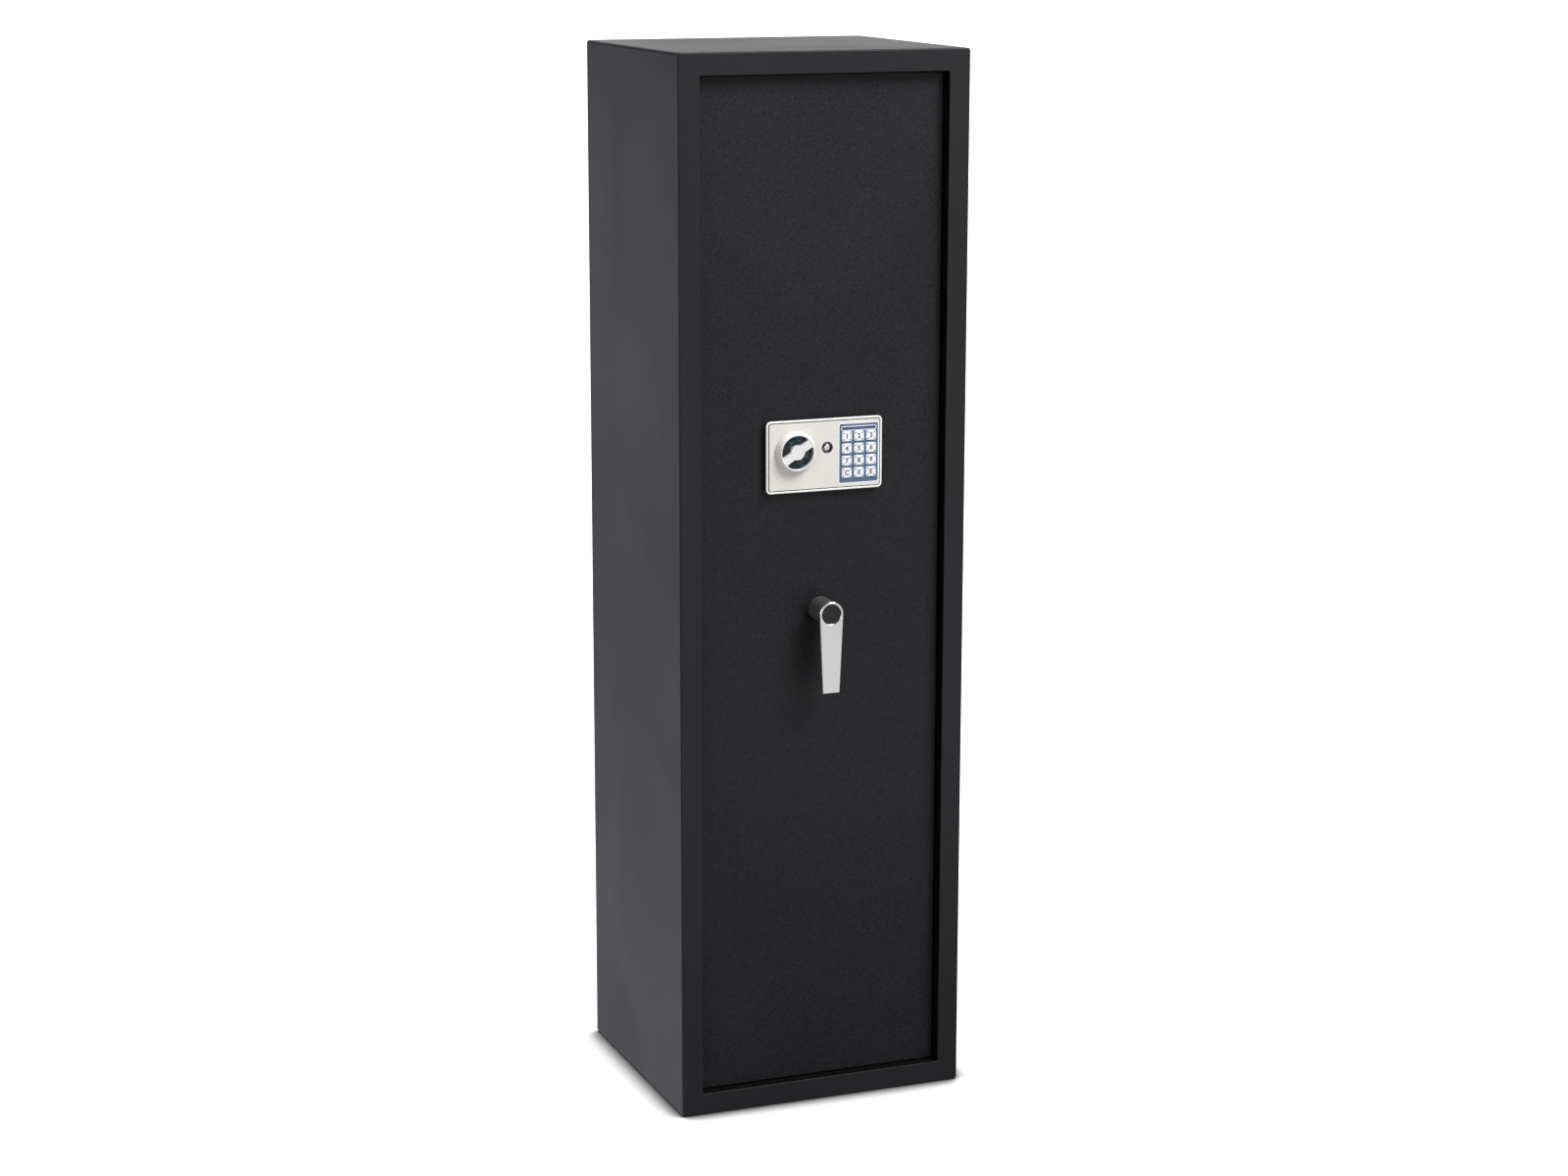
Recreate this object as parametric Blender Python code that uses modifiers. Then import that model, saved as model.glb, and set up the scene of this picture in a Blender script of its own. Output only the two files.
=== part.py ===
"""An upright gun safe: a folded steel cabinet, a recessed door on two hinge pins, a lever
that throws three locking bolts, and an electronic lock with a keypad, a knob and a key
cylinder. Metres, +Z up, the door faces -Y, and the origin is the middle of the base."""

import math

import bmesh
import bpy
from mathutils import Matrix, Vector

# ---------------------------------------------------------------- driving dimensions
HEIGHT = 1.400
WIDTH = 0.400
DEPTH = 0.360
FRONT = -DEPTH / 2
BACK = DEPTH / 2
SHEET = 0.002
GAP = 0.0003  # between neighbours that touch on the real object

# cabinet
CORNER_RADIUS = 0.004
FLANGE = 0.029  # width of the front frame around the door opening
JAMB_DEPTH = 0.048
OPENING_X = WIDTH / 2 - FLANGE
OPENING_LOW = FLANGE
OPENING_HIGH = HEIGHT - FLANGE
ANCHOR_RADIUS = 0.006
ANCHOR_X = 0.100
BACK_ANCHOR_HEIGHTS = (0.150, HEIGHT - 0.150)

# door
RECESS = 0.015
DOOR_SHEET = 0.004
DOOR_GAP = 0.0025
DOOR_FACE = FRONT + RECESS
DOOR_REAR = DOOR_FACE + DOOR_SHEET
DOOR_LEFT = -OPENING_X + DOOR_GAP
DOOR_RIGHT = OPENING_X - 0.003
DOOR_LOW = OPENING_LOW + DOOR_GAP
DOOR_HIGH = OPENING_HIGH - DOOR_GAP
STOP_WIDTH = 0.008
STOP_SHEET = 0.003

# hinge: the pins stand behind the door plate, close to its right edge
HINGE_X = DOOR_RIGHT - 0.016
HINGE_Y = DOOR_FACE + 0.009
PIN_RADIUS = 0.004
PIN_CLEARANCE = 0.0001
PIN_LENGTH = 0.0255
HINGE_BLOCK = 0.025
HINGE_SEGMENTS = 32

# door box
BOX_SHEET = 0.0015
BOX_LEFT = -0.155
BOX_RIGHT = 0.141
BOX_LOW = 0.041
BOX_HIGH = HEIGHT - 0.041
BOX_REAR = FRONT + 0.064
COVER_REAR = BOX_REAR + GAP + BOX_SHEET
COVER_LIP = 0.012

# boltwork
BOLT_RADIUS = 0.009
BOLT_Y = FRONT + 0.033
BOLT_HEIGHTS = {"upper": 1.100, "middle": 0.700, "lower": 0.300}
BOLT_TIP_X = BOX_LEFT - 0.002
BAR_LEFT = -0.112
BAR_RIGHT = -0.066
BAR_SHEET = 0.003
BAR_Y = FRONT + 0.0373  # front face of the sheets that slide in the boltwork's plane
BAR_LOW = 0.270
BAR_HIGH = 1.130
GUIDE_X = -0.097
GUIDE_HEIGHTS = {"upper": 0.980, "lower": 0.420}
GUIDE_NECK = 0.003
CRANK = 0.014
CRANK_PIN = 0.003
CRANK_ANGLE = math.radians(45)  # the crank swings this much each side of upright
BOLT_TRAVEL = 2 * CRANK * math.sin(CRANK_ANGLE)

# lever handle
HANDLE_X = 0.0
HANDLE_Z = 0.6755
STEM_RADIUS = 0.0165
LEVER_FRONT = FRONT - 0.026
LEVER_SHEET = 0.0064
LEVER_EYE = 0.0168
LEVER_LENGTH = 0.106
LEVER_TIP = 0.0235
CAP_RADIUS = 0.0127
SPINDLE_RADIUS = 0.005

# electronic lock panel
PANEL_X = 0.002
PANEL_Z = 0.881
PANEL_WIDTH = 0.162
PANEL_HEIGHT = 0.095
PANEL_RADIUS = 0.006
PANEL_FACE = FRONT + 0.006
RIM_WIDTH = 0.0027
RIM_GROOVE = 0.0012
KEYPAD_X = 0.0498
KEYPAD_Z = 0.8812
KEYPAD_WIDTH = 0.0535
KEYPAD_HEIGHT = 0.0765
KEY_PITCH_X = 0.01705
KEY_PITCH_Z = 0.0160
KEY_TOP_Z = 0.9035
KEY_SIZE = (0.0140, 0.0132)
KEY_NAMES = (("1", "2", "3"), ("4", "5", "6"), ("7", "8", "9"), ("c", "0", "e"))
LED_Z = 0.9138
LED_SIZE = (0.0480, 0.0040)

# lock knob and its latch
KNOB_X = -0.0390
KNOB_Z = 0.8876
KNOB_RADIUS = 0.0280
KNOB_FRONT = FRONT - 0.004
KNOB_WINDOW = 0.0215
KNOB_BAR = 0.0104
KNOB_BOSS = 0.0095
KNOB_TURN = math.radians(33)  # how far the grip bar stands above level
LATCH_CRANK = 0.010
LATCH_PIN = 0.0025
LATCH_TRAVEL = 2 * LATCH_CRANK * math.sin(CRANK_ANGLE)
LATCH_LEFT = -0.064
LATCH_RIGHT = -0.026
LATCH_LOW = 0.844
LATCH_HIGH = 0.908
FINGER_RIGHT = -0.054
COMB_HIGH = 0.838

# key cylinder and solenoid
CYLINDER_X = 0.0057
CYLINDER_Z = 0.8904
CYLINDER_RADIUS = 0.0086
PLUG_RADIUS = 0.0066
SOLENOID_LOW = Vector((-0.004, FRONT + 0.027, 0.851))
SOLENOID_HIGH = Vector((0.034, FRONT + 0.051, 0.875))
PLUNGER_Z = 0.863
PLUNGER_RADIUS = 0.0035
PLUNGER_TIP = -0.025

# battery and reset button, reached from inside the door
BATTERY_X = 0.069
BATTERY_Z = 0.777
CELL_RADIUS = 0.0071
CELL_LENGTH = 0.050
BATTERY_WINDOW = (0.058, 0.062)
BATTERY_LID = (0.066, 0.072)
RESET_X = 0.118
RESET_Z = 0.900
RESET_RADIUS = 0.0035

# inside the cabinet
MAT_SHEET = 0.006
REST_LOW = 0.985
REST_SHEET = 0.030
REST_FRONT = FRONT + 0.230
NOTCH_RADIUS = 0.016
NOTCH_PITCH = 0.068

# material: base colour, roughness, metallic
FINISHES = {
    "body_paint": ((0.040, 0.040, 0.044), 0.50, 0.0),
    "door_paint": ((0.026, 0.026, 0.028), 0.55, 0.0),
    "bare_steel": ((0.50, 0.50, 0.50), 0.35, 1.0),
    "lever_metal": ((0.62, 0.62, 0.62), 0.30, 1.0),
    "black_plastic": ((0.025, 0.025, 0.026), 0.45, 0.0),
    "panel_silver": ((0.69, 0.67, 0.62), 0.40, 0.0),
    "keypad_blue": ((0.06, 0.14, 0.26), 0.40, 0.0),
    "key_white": ((0.80, 0.82, 0.84), 0.40, 0.0),
    "inlay_dark": ((0.03, 0.06, 0.07), 0.35, 0.4),
    "lens_blue": ((0.03, 0.08, 0.20), 0.15, 0.0),
    "brass": ((0.70, 0.50, 0.22), 0.35, 1.0),
    "circuit_green": ((0.02, 0.16, 0.08), 0.50, 0.0),
    "battery_wrap": ((0.05, 0.05, 0.06), 0.35, 0.0),
    "reset_red": ((0.55, 0.03, 0.03), 0.40, 0.0),
    "foam_grey": ((0.07, 0.07, 0.075), 0.95, 0.0),
}


# ---------------------------------------------------------------- scene and materials
def clear_scene():
    for obj in list(bpy.data.objects):
        bpy.data.objects.remove(obj)


def add_collection(name):
    made = bpy.data.collections.new(name)
    bpy.context.scene.collection.children.link(made)
    return made


def add_materials():
    for name, (colour, roughness, metallic) in FINISHES.items():
        material = bpy.data.materials.new(name)
        material.use_nodes = True
        shader = material.node_tree.nodes["Principled BSDF"]
        shader.inputs["Base Color"].default_value = (*colour, 1.0)
        shader.inputs["Roughness"].default_value = roughness
        shader.inputs["Metallic"].default_value = metallic


clear_scene()
PARTS = add_collection("gun_safe")
CUTTERS = add_collection("cutters")
add_materials()


def pivot(name, place, parent=None):
    """An empty on a joint's axis, which carries the pieces that move on that joint."""
    empty = bpy.data.objects.new(name, None)
    PARTS.objects.link(empty)
    empty.empty_display_size = 0.02
    empty.location = place
    attach(empty, parent)
    return empty


def attach(obj, parent):
    """Parents obj without moving it."""
    bpy.context.view_layer.update()
    if parent is not None:
        obj.parent = parent
        obj.matrix_parent_inverse = parent.matrix_world.inverted()


# ---------------------------------------------------------------- modelling tools
def piece(name, mesh, place, finish, parent):
    """A mesh as a part, or as a cutter where it has no finish."""
    obj = bpy.data.objects.new(name, mesh)
    if finish is None:
        CUTTERS.objects.link(obj)
        obj.hide_render = True
        obj.display_type = "WIRE"
    else:
        PARTS.objects.link(obj)
        mesh.materials.append(bpy.data.materials[finish])
    obj.location = place
    attach(obj, parent)
    return obj


def edges_along(bm, axis):
    """The edges that run along a unit vector."""
    return [
        edge
        for edge in bm.edges
        if abs((edge.verts[1].co - edge.verts[0].co).normalized().dot(Vector(axis))) > 0.999
    ]


def block(name, low, high, finish=None, parent=None, rounding=()):
    """A box between two corners. rounding lists (axis, radius, segments) to round the
    edges that run along that axis, in that order."""
    low, high = Vector(low), Vector(high)
    bm = bmesh.new()
    bmesh.ops.create_cube(bm, size=1.0)
    bmesh.ops.scale(bm, vec=high - low, verts=bm.verts)
    for axis, radius, segments in rounding:
        bmesh.ops.bevel(
            bm,
            geom=edges_along(bm, axis),
            offset=radius,
            segments=segments,
            profile=0.5,
            affect="EDGES",
        )
    mesh = bpy.data.meshes.new(name)
    bm.to_mesh(mesh)
    bm.free()
    return piece(name, mesh, (low + high) / 2, finish, parent)


TURN_TO = {
    "X": Matrix.Rotation(math.radians(90), 4, "Y"),
    "Y": Matrix.Rotation(math.radians(-90), 4, "X"),
    "Z": Matrix.Identity(4),
}
ALONG = {"X": Vector((1, 0, 0)), "Y": Vector((0, 1, 0)), "Z": Vector((0, 0, 1))}


def rod(name, start, length, radius, axis, finish=None, parent=None, segments=24):
    """A cylinder from start, along +axis."""
    bm = bmesh.new()
    bmesh.ops.create_cone(
        bm, cap_ends=True, segments=segments, radius1=radius, radius2=radius, depth=length
    )
    bmesh.ops.transform(bm, matrix=TURN_TO[axis], verts=bm.verts)
    mesh = bpy.data.meshes.new(name)
    bm.to_mesh(mesh)
    bm.free()
    mesh.shade_smooth()
    mesh.set_sharp_from_angle(angle=math.radians(40))
    return piece(name, mesh, Vector(start) + ALONG[axis] * length / 2, finish, parent)


def turned(name, centre, profile, axis, finish, parent=None, steps=32):
    """A turned piece. profile lists (radius, distance along the axis) down its outer side
    and, for a bored piece, back up its bore, from the far end of the axis to the near one."""
    mesh = bpy.data.meshes.new(name)
    bm = bmesh.new()
    points = [bm.verts.new((radius, 0.0, along)) for radius, along in profile]
    closed = profile[0][0] > 0
    for first, second in zip(points, points[1:]):
        bm.edges.new((first, second))
    if closed:
        bm.edges.new((points[-1], points[0]))
    bm.to_mesh(mesh)
    bm.free()
    obj = piece(name, mesh, centre, finish, None)
    obj.rotation_euler = TURN_TO[axis].to_euler()
    screw = obj.modifiers.new("turn", "SCREW")
    screw.steps = screw.render_steps = steps
    screw.use_merge_vertices = True
    screw.merge_threshold = 0.00001
    screw.use_smooth_shade = True
    attach(obj, parent)
    return obj


def plate(name, loops, low, high, normal="Y", finish=None, parent=None):
    """A flat piece cut to the first loop, with the others as holes, from low to high along
    its normal. Loops are (x, z) points for a normal of Y, and (x, y) for Z."""
    curve = bpy.data.curves.new(name, "CURVE")
    curve.dimensions = "2D"
    curve.fill_mode = "BOTH"
    curve.extrude = (high - low) / 2
    for loop in loops:
        spline = curve.splines.new("POLY")
        spline.points.add(len(loop) - 1)
        spline.use_cyclic_u = True
        for point, (across, up) in zip(spline.points, loop):
            point.co = (across, up, 0.0, 1.0)
    outline = bpy.data.objects.new(name + "_outline", curve)
    CUTTERS.objects.link(outline)
    if normal == "Y":
        outline.rotation_euler = (math.radians(90), 0.0, 0.0)
    outline.location = ALONG[normal] * (low + high) / 2
    bpy.context.view_layer.update()
    mesh = bpy.data.meshes.new_from_object(
        outline.evaluated_get(bpy.context.evaluated_depsgraph_get())
    )
    bm = bmesh.new()
    bm.from_mesh(mesh)
    bmesh.ops.remove_doubles(bm, verts=bm.verts, dist=0.000001)
    bmesh.ops.recalc_face_normals(bm, faces=bm.faces)
    bm.to_mesh(mesh)
    bm.free()
    mesh.materials.clear()
    placed = outline.matrix_world.copy()
    bpy.data.objects.remove(outline)
    obj = piece(name, mesh, (0, 0, 0), finish, None)
    obj.matrix_world = placed
    attach(obj, parent)
    return obj


def boolean(target, other, operation):
    """Adds other to target, or takes it away. other then moves with target."""
    modifier = target.modifiers.new(operation.lower(), "BOOLEAN")
    modifier.operation = operation
    modifier.solver = "EXACT"
    modifier.object = other
    attach(other, target)


def cut(target, *cutters):
    for cutter in cutters:
        boolean(target, cutter, "DIFFERENCE")


def join(target, *others):
    for other in others:
        boolean(target, other, "UNION")


# ---------------------------------------------------------------- outlines
def arc(x, z, radius, start, end, steps):
    """Points on an arc, both ends included, with angles in degrees."""
    return [
        (
            x + radius * math.cos(math.radians(start + (end - start) * i / steps)),
            z + radius * math.sin(math.radians(start + (end - start) * i / steps)),
        )
        for i in range(steps + 1)
    ]


def circle(x, z, radius, segments=20):
    return arc(x, z, radius, 0, 360, segments)[:-1]


def rectangle(left, low, right, high, radius=0.0, steps=3):
    if radius == 0.0:
        return [(left, low), (right, low), (right, high), (left, high)]
    return (
        arc(right - radius, high - radius, radius, 0, 90, steps)
        + arc(left + radius, high - radius, radius, 90, 180, steps)
        + arc(left + radius, low + radius, radius, 180, 270, steps)
        + arc(right - radius, low + radius, radius, 270, 360, steps)
    )


def centred(x, z, width, height, radius=0.0, steps=3):
    return rectangle(
        x - width / 2, z - height / 2, x + width / 2, z + height / 2, radius, steps
    )


def level_slot(x, z, length, width, steps=6):
    """A slot with round ends, along X."""
    half = (length - width) / 2
    return arc(x + half, z, width / 2, -90, 90, steps) + arc(
        x - half, z, width / 2, 90, 270, steps
    )


def upright_slot(x, z, length, width, steps=6):
    return [(x + (v - z), z + (u - x)) for u, v in level_slot(x, z, length, width, steps)][::-1]


# ---------------------------------------------------------------- cabinet
def build_body_shell():
    """Sides, top and bottom folded from one sheet with the front frame and the jamb."""
    shell = block(
        "body_shell",
        (-WIDTH / 2, FRONT, 0),
        (WIDTH / 2, BACK, HEIGHT),
        "body_paint",
        rounding=(((0, 1, 0), CORNER_RADIUS, 3),),
    )
    inside = block(
        "shell_inside",
        (-WIDTH / 2 + SHEET, FRONT + SHEET, SHEET),
        (WIDTH / 2 - SHEET, BACK + 0.02, HEIGHT - SHEET),
    )
    jamb = block(
        "shell_jamb",
        (-OPENING_X - SHEET, FRONT + SHEET / 4, OPENING_LOW - SHEET),
        (OPENING_X + SHEET, FRONT + JAMB_DEPTH, OPENING_HIGH + SHEET),
    )
    opening = block(
        "shell_opening",
        (-OPENING_X, FRONT - 0.02, OPENING_LOW),
        (OPENING_X, FRONT + JAMB_DEPTH + 0.02, OPENING_HIGH),
    )
    cut(shell, inside)
    join(shell, jamb)
    cut(shell, opening)
    for name, height in BOLT_HEIGHTS.items():
        strike = rod(
            "strike_hole_" + name,
            (-OPENING_X - 0.01, BOLT_Y, height),
            0.02,
            BOLT_RADIUS + 0.0008,
            "X",
        )
        cut(shell, strike)
    for name, low in (("lower", OPENING_LOW - 0.01), ("upper", OPENING_HIGH - 0.01)):
        hole = rod(
            "jamb_pin_hole_" + name, (HINGE_X, HINGE_Y, low), 0.02, PIN_RADIUS + GAP, "Z"
        )
        cut(shell, hole)
    for side in (-1, 1):
        anchor = rod(f"floor_anchor_{side}", (side * ANCHOR_X, 0, -0.01), 0.02, ANCHOR_RADIUS, "Z")
        cut(shell, anchor)


def build_back_panel():
    reach_x = WIDTH / 2 - SHEET - GAP
    reach_z = SHEET + GAP
    holes = [
        circle(side * ANCHOR_X, height, ANCHOR_RADIUS)
        for side in (-1, 1)
        for height in BACK_ANCHOR_HEIGHTS
    ]
    outline = rectangle(-reach_x, reach_z, reach_x, HEIGHT - reach_z)
    plate("back_panel", [outline, *holes], BACK - SHEET, BACK, finish="body_paint")


def build_door_stop():
    """A flat frame inside the jamb that the door closes against. It is open at the hinge."""
    outer_x = OPENING_X - GAP
    low, high = OPENING_LOW + GAP, OPENING_HIGH - GAP
    inner_x = OPENING_X - STOP_WIDTH
    arm_end = HINGE_X - 0.015
    outline = [
        (-outer_x, low),
        (arm_end, low),
        (arm_end, low + STOP_WIDTH),
        (-inner_x, low + STOP_WIDTH),
        (-inner_x, high - STOP_WIDTH),
        (arm_end, high - STOP_WIDTH),
        (arm_end, high),
        (-outer_x, high),
    ]
    front = DOOR_REAR + 0.0006
    plate("door_stop_frame", [outline], front, front + STOP_SHEET, finish="body_paint")


def build_hinge_pins():
    """Flanged pins, welded behind the jamb, that stand in the door's hinge blocks."""
    flange = 0.012
    flange_sheet = 0.004
    foot = flange_sheet + SHEET + GAP
    profile = [
        (0.0, foot + PIN_LENGTH),
        (PIN_RADIUS - 0.0008, foot + PIN_LENGTH),
        (PIN_RADIUS, foot + PIN_LENGTH - 0.0008),
        (PIN_RADIUS, flange_sheet),
        (flange, flange_sheet),
        (flange, 0.0),
        (0.0, 0.0),
    ]
    low = OPENING_LOW - foot
    turned(
        "hinge_pin_lower",
        (HINGE_X, HINGE_Y, low),
        profile,
        "Z",
        "bare_steel",
        steps=HINGE_SEGMENTS,
    )
    upper = turned(
        "hinge_pin_upper",
        (HINGE_X, HINGE_Y, HEIGHT - low),
        profile,
        "Z",
        "bare_steel",
        steps=HINGE_SEGMENTS,
    )
    upper.rotation_euler = (math.radians(180), 0.0, 0.0)
    washer = [
        (0.0075, DOOR_GAP - 2 * GAP),
        (0.0075, 0.0),
        (PIN_RADIUS + GAP, 0.0),
        (PIN_RADIUS + GAP, DOOR_GAP - 2 * GAP),
    ]
    turned("hinge_washer", (HINGE_X, HINGE_Y, OPENING_LOW + GAP), washer, "Z", "black_plastic")


def build_gun_rack():
    """A foam barrel rest on a steel angle, and a mat for the butts."""
    wall = BACK - SHEET - GAP
    angle = block(
        "rack_bracket",
        (-0.170, wall - 0.0025, REST_LOW - 0.050),
        (0.170, wall, REST_LOW - GAP),
        "body_paint",
    )
    shelf = block(
        "rack_shelf",
        (-0.170, REST_FRONT + 0.050, REST_LOW - GAP - 0.0025),
        (0.170, wall - 0.001, REST_LOW - GAP),
    )
    join(angle, shelf)
    half = 0.190
    notch_end = REST_FRONT + 0.032
    outline = [(half, REST_FRONT), (half, wall), (-half, wall), (-half, REST_FRONT)]
    for index in range(-2, 3):
        x = index * NOTCH_PITCH
        outline.append((x - NOTCH_RADIUS, REST_FRONT))
        outline += arc(x, notch_end, NOTCH_RADIUS, 180, 0, 8)
        outline.append((x + NOTCH_RADIUS, REST_FRONT))
    plate("barrel_rest", [outline], REST_LOW, REST_LOW + REST_SHEET, "Z", "foam_grey")
    reach = WIDTH / 2 - SHEET - 0.002
    block(
        "floor_mat",
        (-reach, FRONT + JAMB_DEPTH + 0.002, SHEET + GAP),
        (reach, wall - 0.001, SHEET + GAP + MAT_SHEET),
        "foam_grey",
    )


# ---------------------------------------------------------------- door
def build_door_plate(door):
    holes = [
        circle(HANDLE_X, HANDLE_Z, 0.010),
        circle(KNOB_X, KNOB_Z, 0.006),
        circle(CYLINDER_X, CYLINDER_Z, CYLINDER_RADIUS + 0.0005),
        level_slot(KEYPAD_X, KEYPAD_Z, 0.020, 0.010),
    ]
    outline = rectangle(DOOR_LEFT, DOOR_LOW, DOOR_RIGHT, DOOR_HIGH, 0.001, 1)
    plate(
        "door_plate", [outline, *holes], DOOR_FACE, DOOR_REAR, finish="door_paint", parent=door
    )


def build_hinge_blocks(door):
    """Blocks behind the door plate, each bored for a hinge pin."""
    bore = (PIN_RADIUS + PIN_CLEARANCE) / math.cos(math.pi / HINGE_SEGMENTS)
    for name, low in (("lower", DOOR_LOW), ("upper", DOOR_HIGH - HINGE_BLOCK)):
        knuckle = block(
            "hinge_block_" + name,
            (HINGE_X - 0.0085, DOOR_REAR + GAP, low),
            (HINGE_X + 0.0075, DOOR_REAR + 0.013, low + HINGE_BLOCK),
            "body_paint",
            door,
            rounding=(((0, 0, 1), 0.0008, 1),),
        )
        hole = rod(
            "hinge_bore_" + name,
            (HINGE_X, HINGE_Y, low - 0.01),
            HINGE_BLOCK + 0.02,
            bore,
            "Z",
            segments=HINGE_SEGMENTS,
        )
        cut(knuckle, hole)


def build_door_box(door):
    """A four-sided channel behind the door plate, with a lip that takes the inner cover."""
    outline = rectangle(BOX_LEFT, BOX_LOW, BOX_RIGHT, BOX_HIGH)
    inner = rectangle(
        BOX_LEFT + BOX_SHEET, BOX_LOW + BOX_SHEET, BOX_RIGHT - BOX_SHEET, BOX_HIGH - BOX_SHEET
    )
    lip = rectangle(
        BOX_LEFT + COVER_LIP, BOX_LOW + COVER_LIP, BOX_RIGHT - COVER_LIP, BOX_HIGH - COVER_LIP
    )
    walls = plate(
        "door_box", [outline, inner], DOOR_REAR + GAP, BOX_REAR, finish="body_paint", parent=door
    )
    inset = 0.0002
    rim = rectangle(BOX_LEFT + inset, BOX_LOW + inset, BOX_RIGHT - inset, BOX_HIGH - inset)
    join(walls, plate("door_box_lip", [rim, lip], BOX_REAR - BOX_SHEET, BOX_REAR - 0.0001))
    for name, height in BOLT_HEIGHTS.items():
        hole = rod(
            "box_bolt_hole_" + name,
            (BOX_LEFT - 0.01, BOLT_Y, height),
            0.02,
            BOLT_RADIUS + 0.0004,
            "X",
        )
        cut(walls, hole)
    window = centred(BATTERY_X, BATTERY_Z, *BATTERY_WINDOW, 0.003, 2)
    plate(
        "door_cover",
        [outline, window, circle(RESET_X, RESET_Z, RESET_RADIUS + 0.0005)],
        BOX_REAR + GAP,
        COVER_REAR,
        finish="body_paint",
        parent=door,
    )


# ---------------------------------------------------------------- lever and boltwork
def build_handle(handle, door):
    stem = [
        (STEM_RADIUS - 0.0006, DOOR_FACE - GAP),
        (STEM_RADIUS, DOOR_FACE - GAP - 0.0006),
        (STEM_RADIUS, LEVER_FRONT + LEVER_SHEET + GAP + 0.0006),
        (STEM_RADIUS - 0.0006, LEVER_FRONT + LEVER_SHEET + GAP),
        (SPINDLE_RADIUS + GAP, LEVER_FRONT + LEVER_SHEET + GAP),
        (SPINDLE_RADIUS + GAP, DOOR_FACE - GAP),
    ]
    centre = (HANDLE_X, 0.0, HANDLE_Z)
    turned("handle_stem", centre, stem, "Y", "black_plastic", handle, steps=40)
    half_tip = LEVER_TIP / 2
    lean = math.degrees(math.asin((LEVER_EYE - half_tip) / LEVER_LENGTH))
    eye = arc(HANDLE_X, HANDLE_Z, LEVER_EYE, -lean, 180 + lean, 24)
    tip_z = HANDLE_Z - LEVER_LENGTH
    outline = [*eye, (HANDLE_X - half_tip, tip_z), (HANDLE_X + half_tip, tip_z)]
    plate(
        "handle_lever",
        [outline, circle(HANDLE_X, HANDLE_Z, CAP_RADIUS + GAP, 32)],
        LEVER_FRONT,
        LEVER_FRONT + LEVER_SHEET,
        finish="lever_metal",
        parent=handle,
    )
    cap = [
        (0.0, LEVER_FRONT + LEVER_SHEET),
        (CAP_RADIUS, LEVER_FRONT + LEVER_SHEET),
        (CAP_RADIUS, LEVER_FRONT + 0.0004),
        (CAP_RADIUS - 0.0004, LEVER_FRONT),
        (0.0, LEVER_FRONT),
    ]
    turned("handle_cap", centre, cap, "Y", "black_plastic", handle)
    spindle_end = FRONT + 0.032
    spindle_start = LEVER_FRONT + LEVER_SHEET + GAP
    rod(
        "handle_spindle",
        (HANDLE_X, spindle_start, HANDLE_Z),
        spindle_end - spindle_start,
        SPINDLE_RADIUS,
        "Y",
        "bare_steel",
        handle,
    )
    bush = [
        (0.0097, DOOR_REAR + 0.005),
        (0.0097, DOOR_FACE),
        (SPINDLE_RADIUS + 0.0002, DOOR_FACE),
        (SPINDLE_RADIUS + 0.0002, DOOR_REAR + 0.005),
    ]
    turned("spindle_bush", centre, bush, "Y", "brass", door)
    offset = CRANK * math.sin(CRANK_ANGLE)
    cam = plate(
        "bolt_cam",
        [
            circle(HANDLE_X, HANDLE_Z, CRANK + CRANK_PIN + 0.003, 32),
            circle(HANDLE_X, HANDLE_Z, SPINDLE_RADIUS + GAP, 24),
        ],
        FRONT + 0.028,
        FRONT + 0.032,
        finish="bare_steel",
        parent=handle,
    )
    crank_pin = rod(
        "bolt_crank_pin",
        (HANDLE_X + offset, FRONT + 0.029, HANDLE_Z + offset),
        0.0115,
        CRANK_PIN,
        "Y",
    )
    join(cam, crank_pin)


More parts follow.
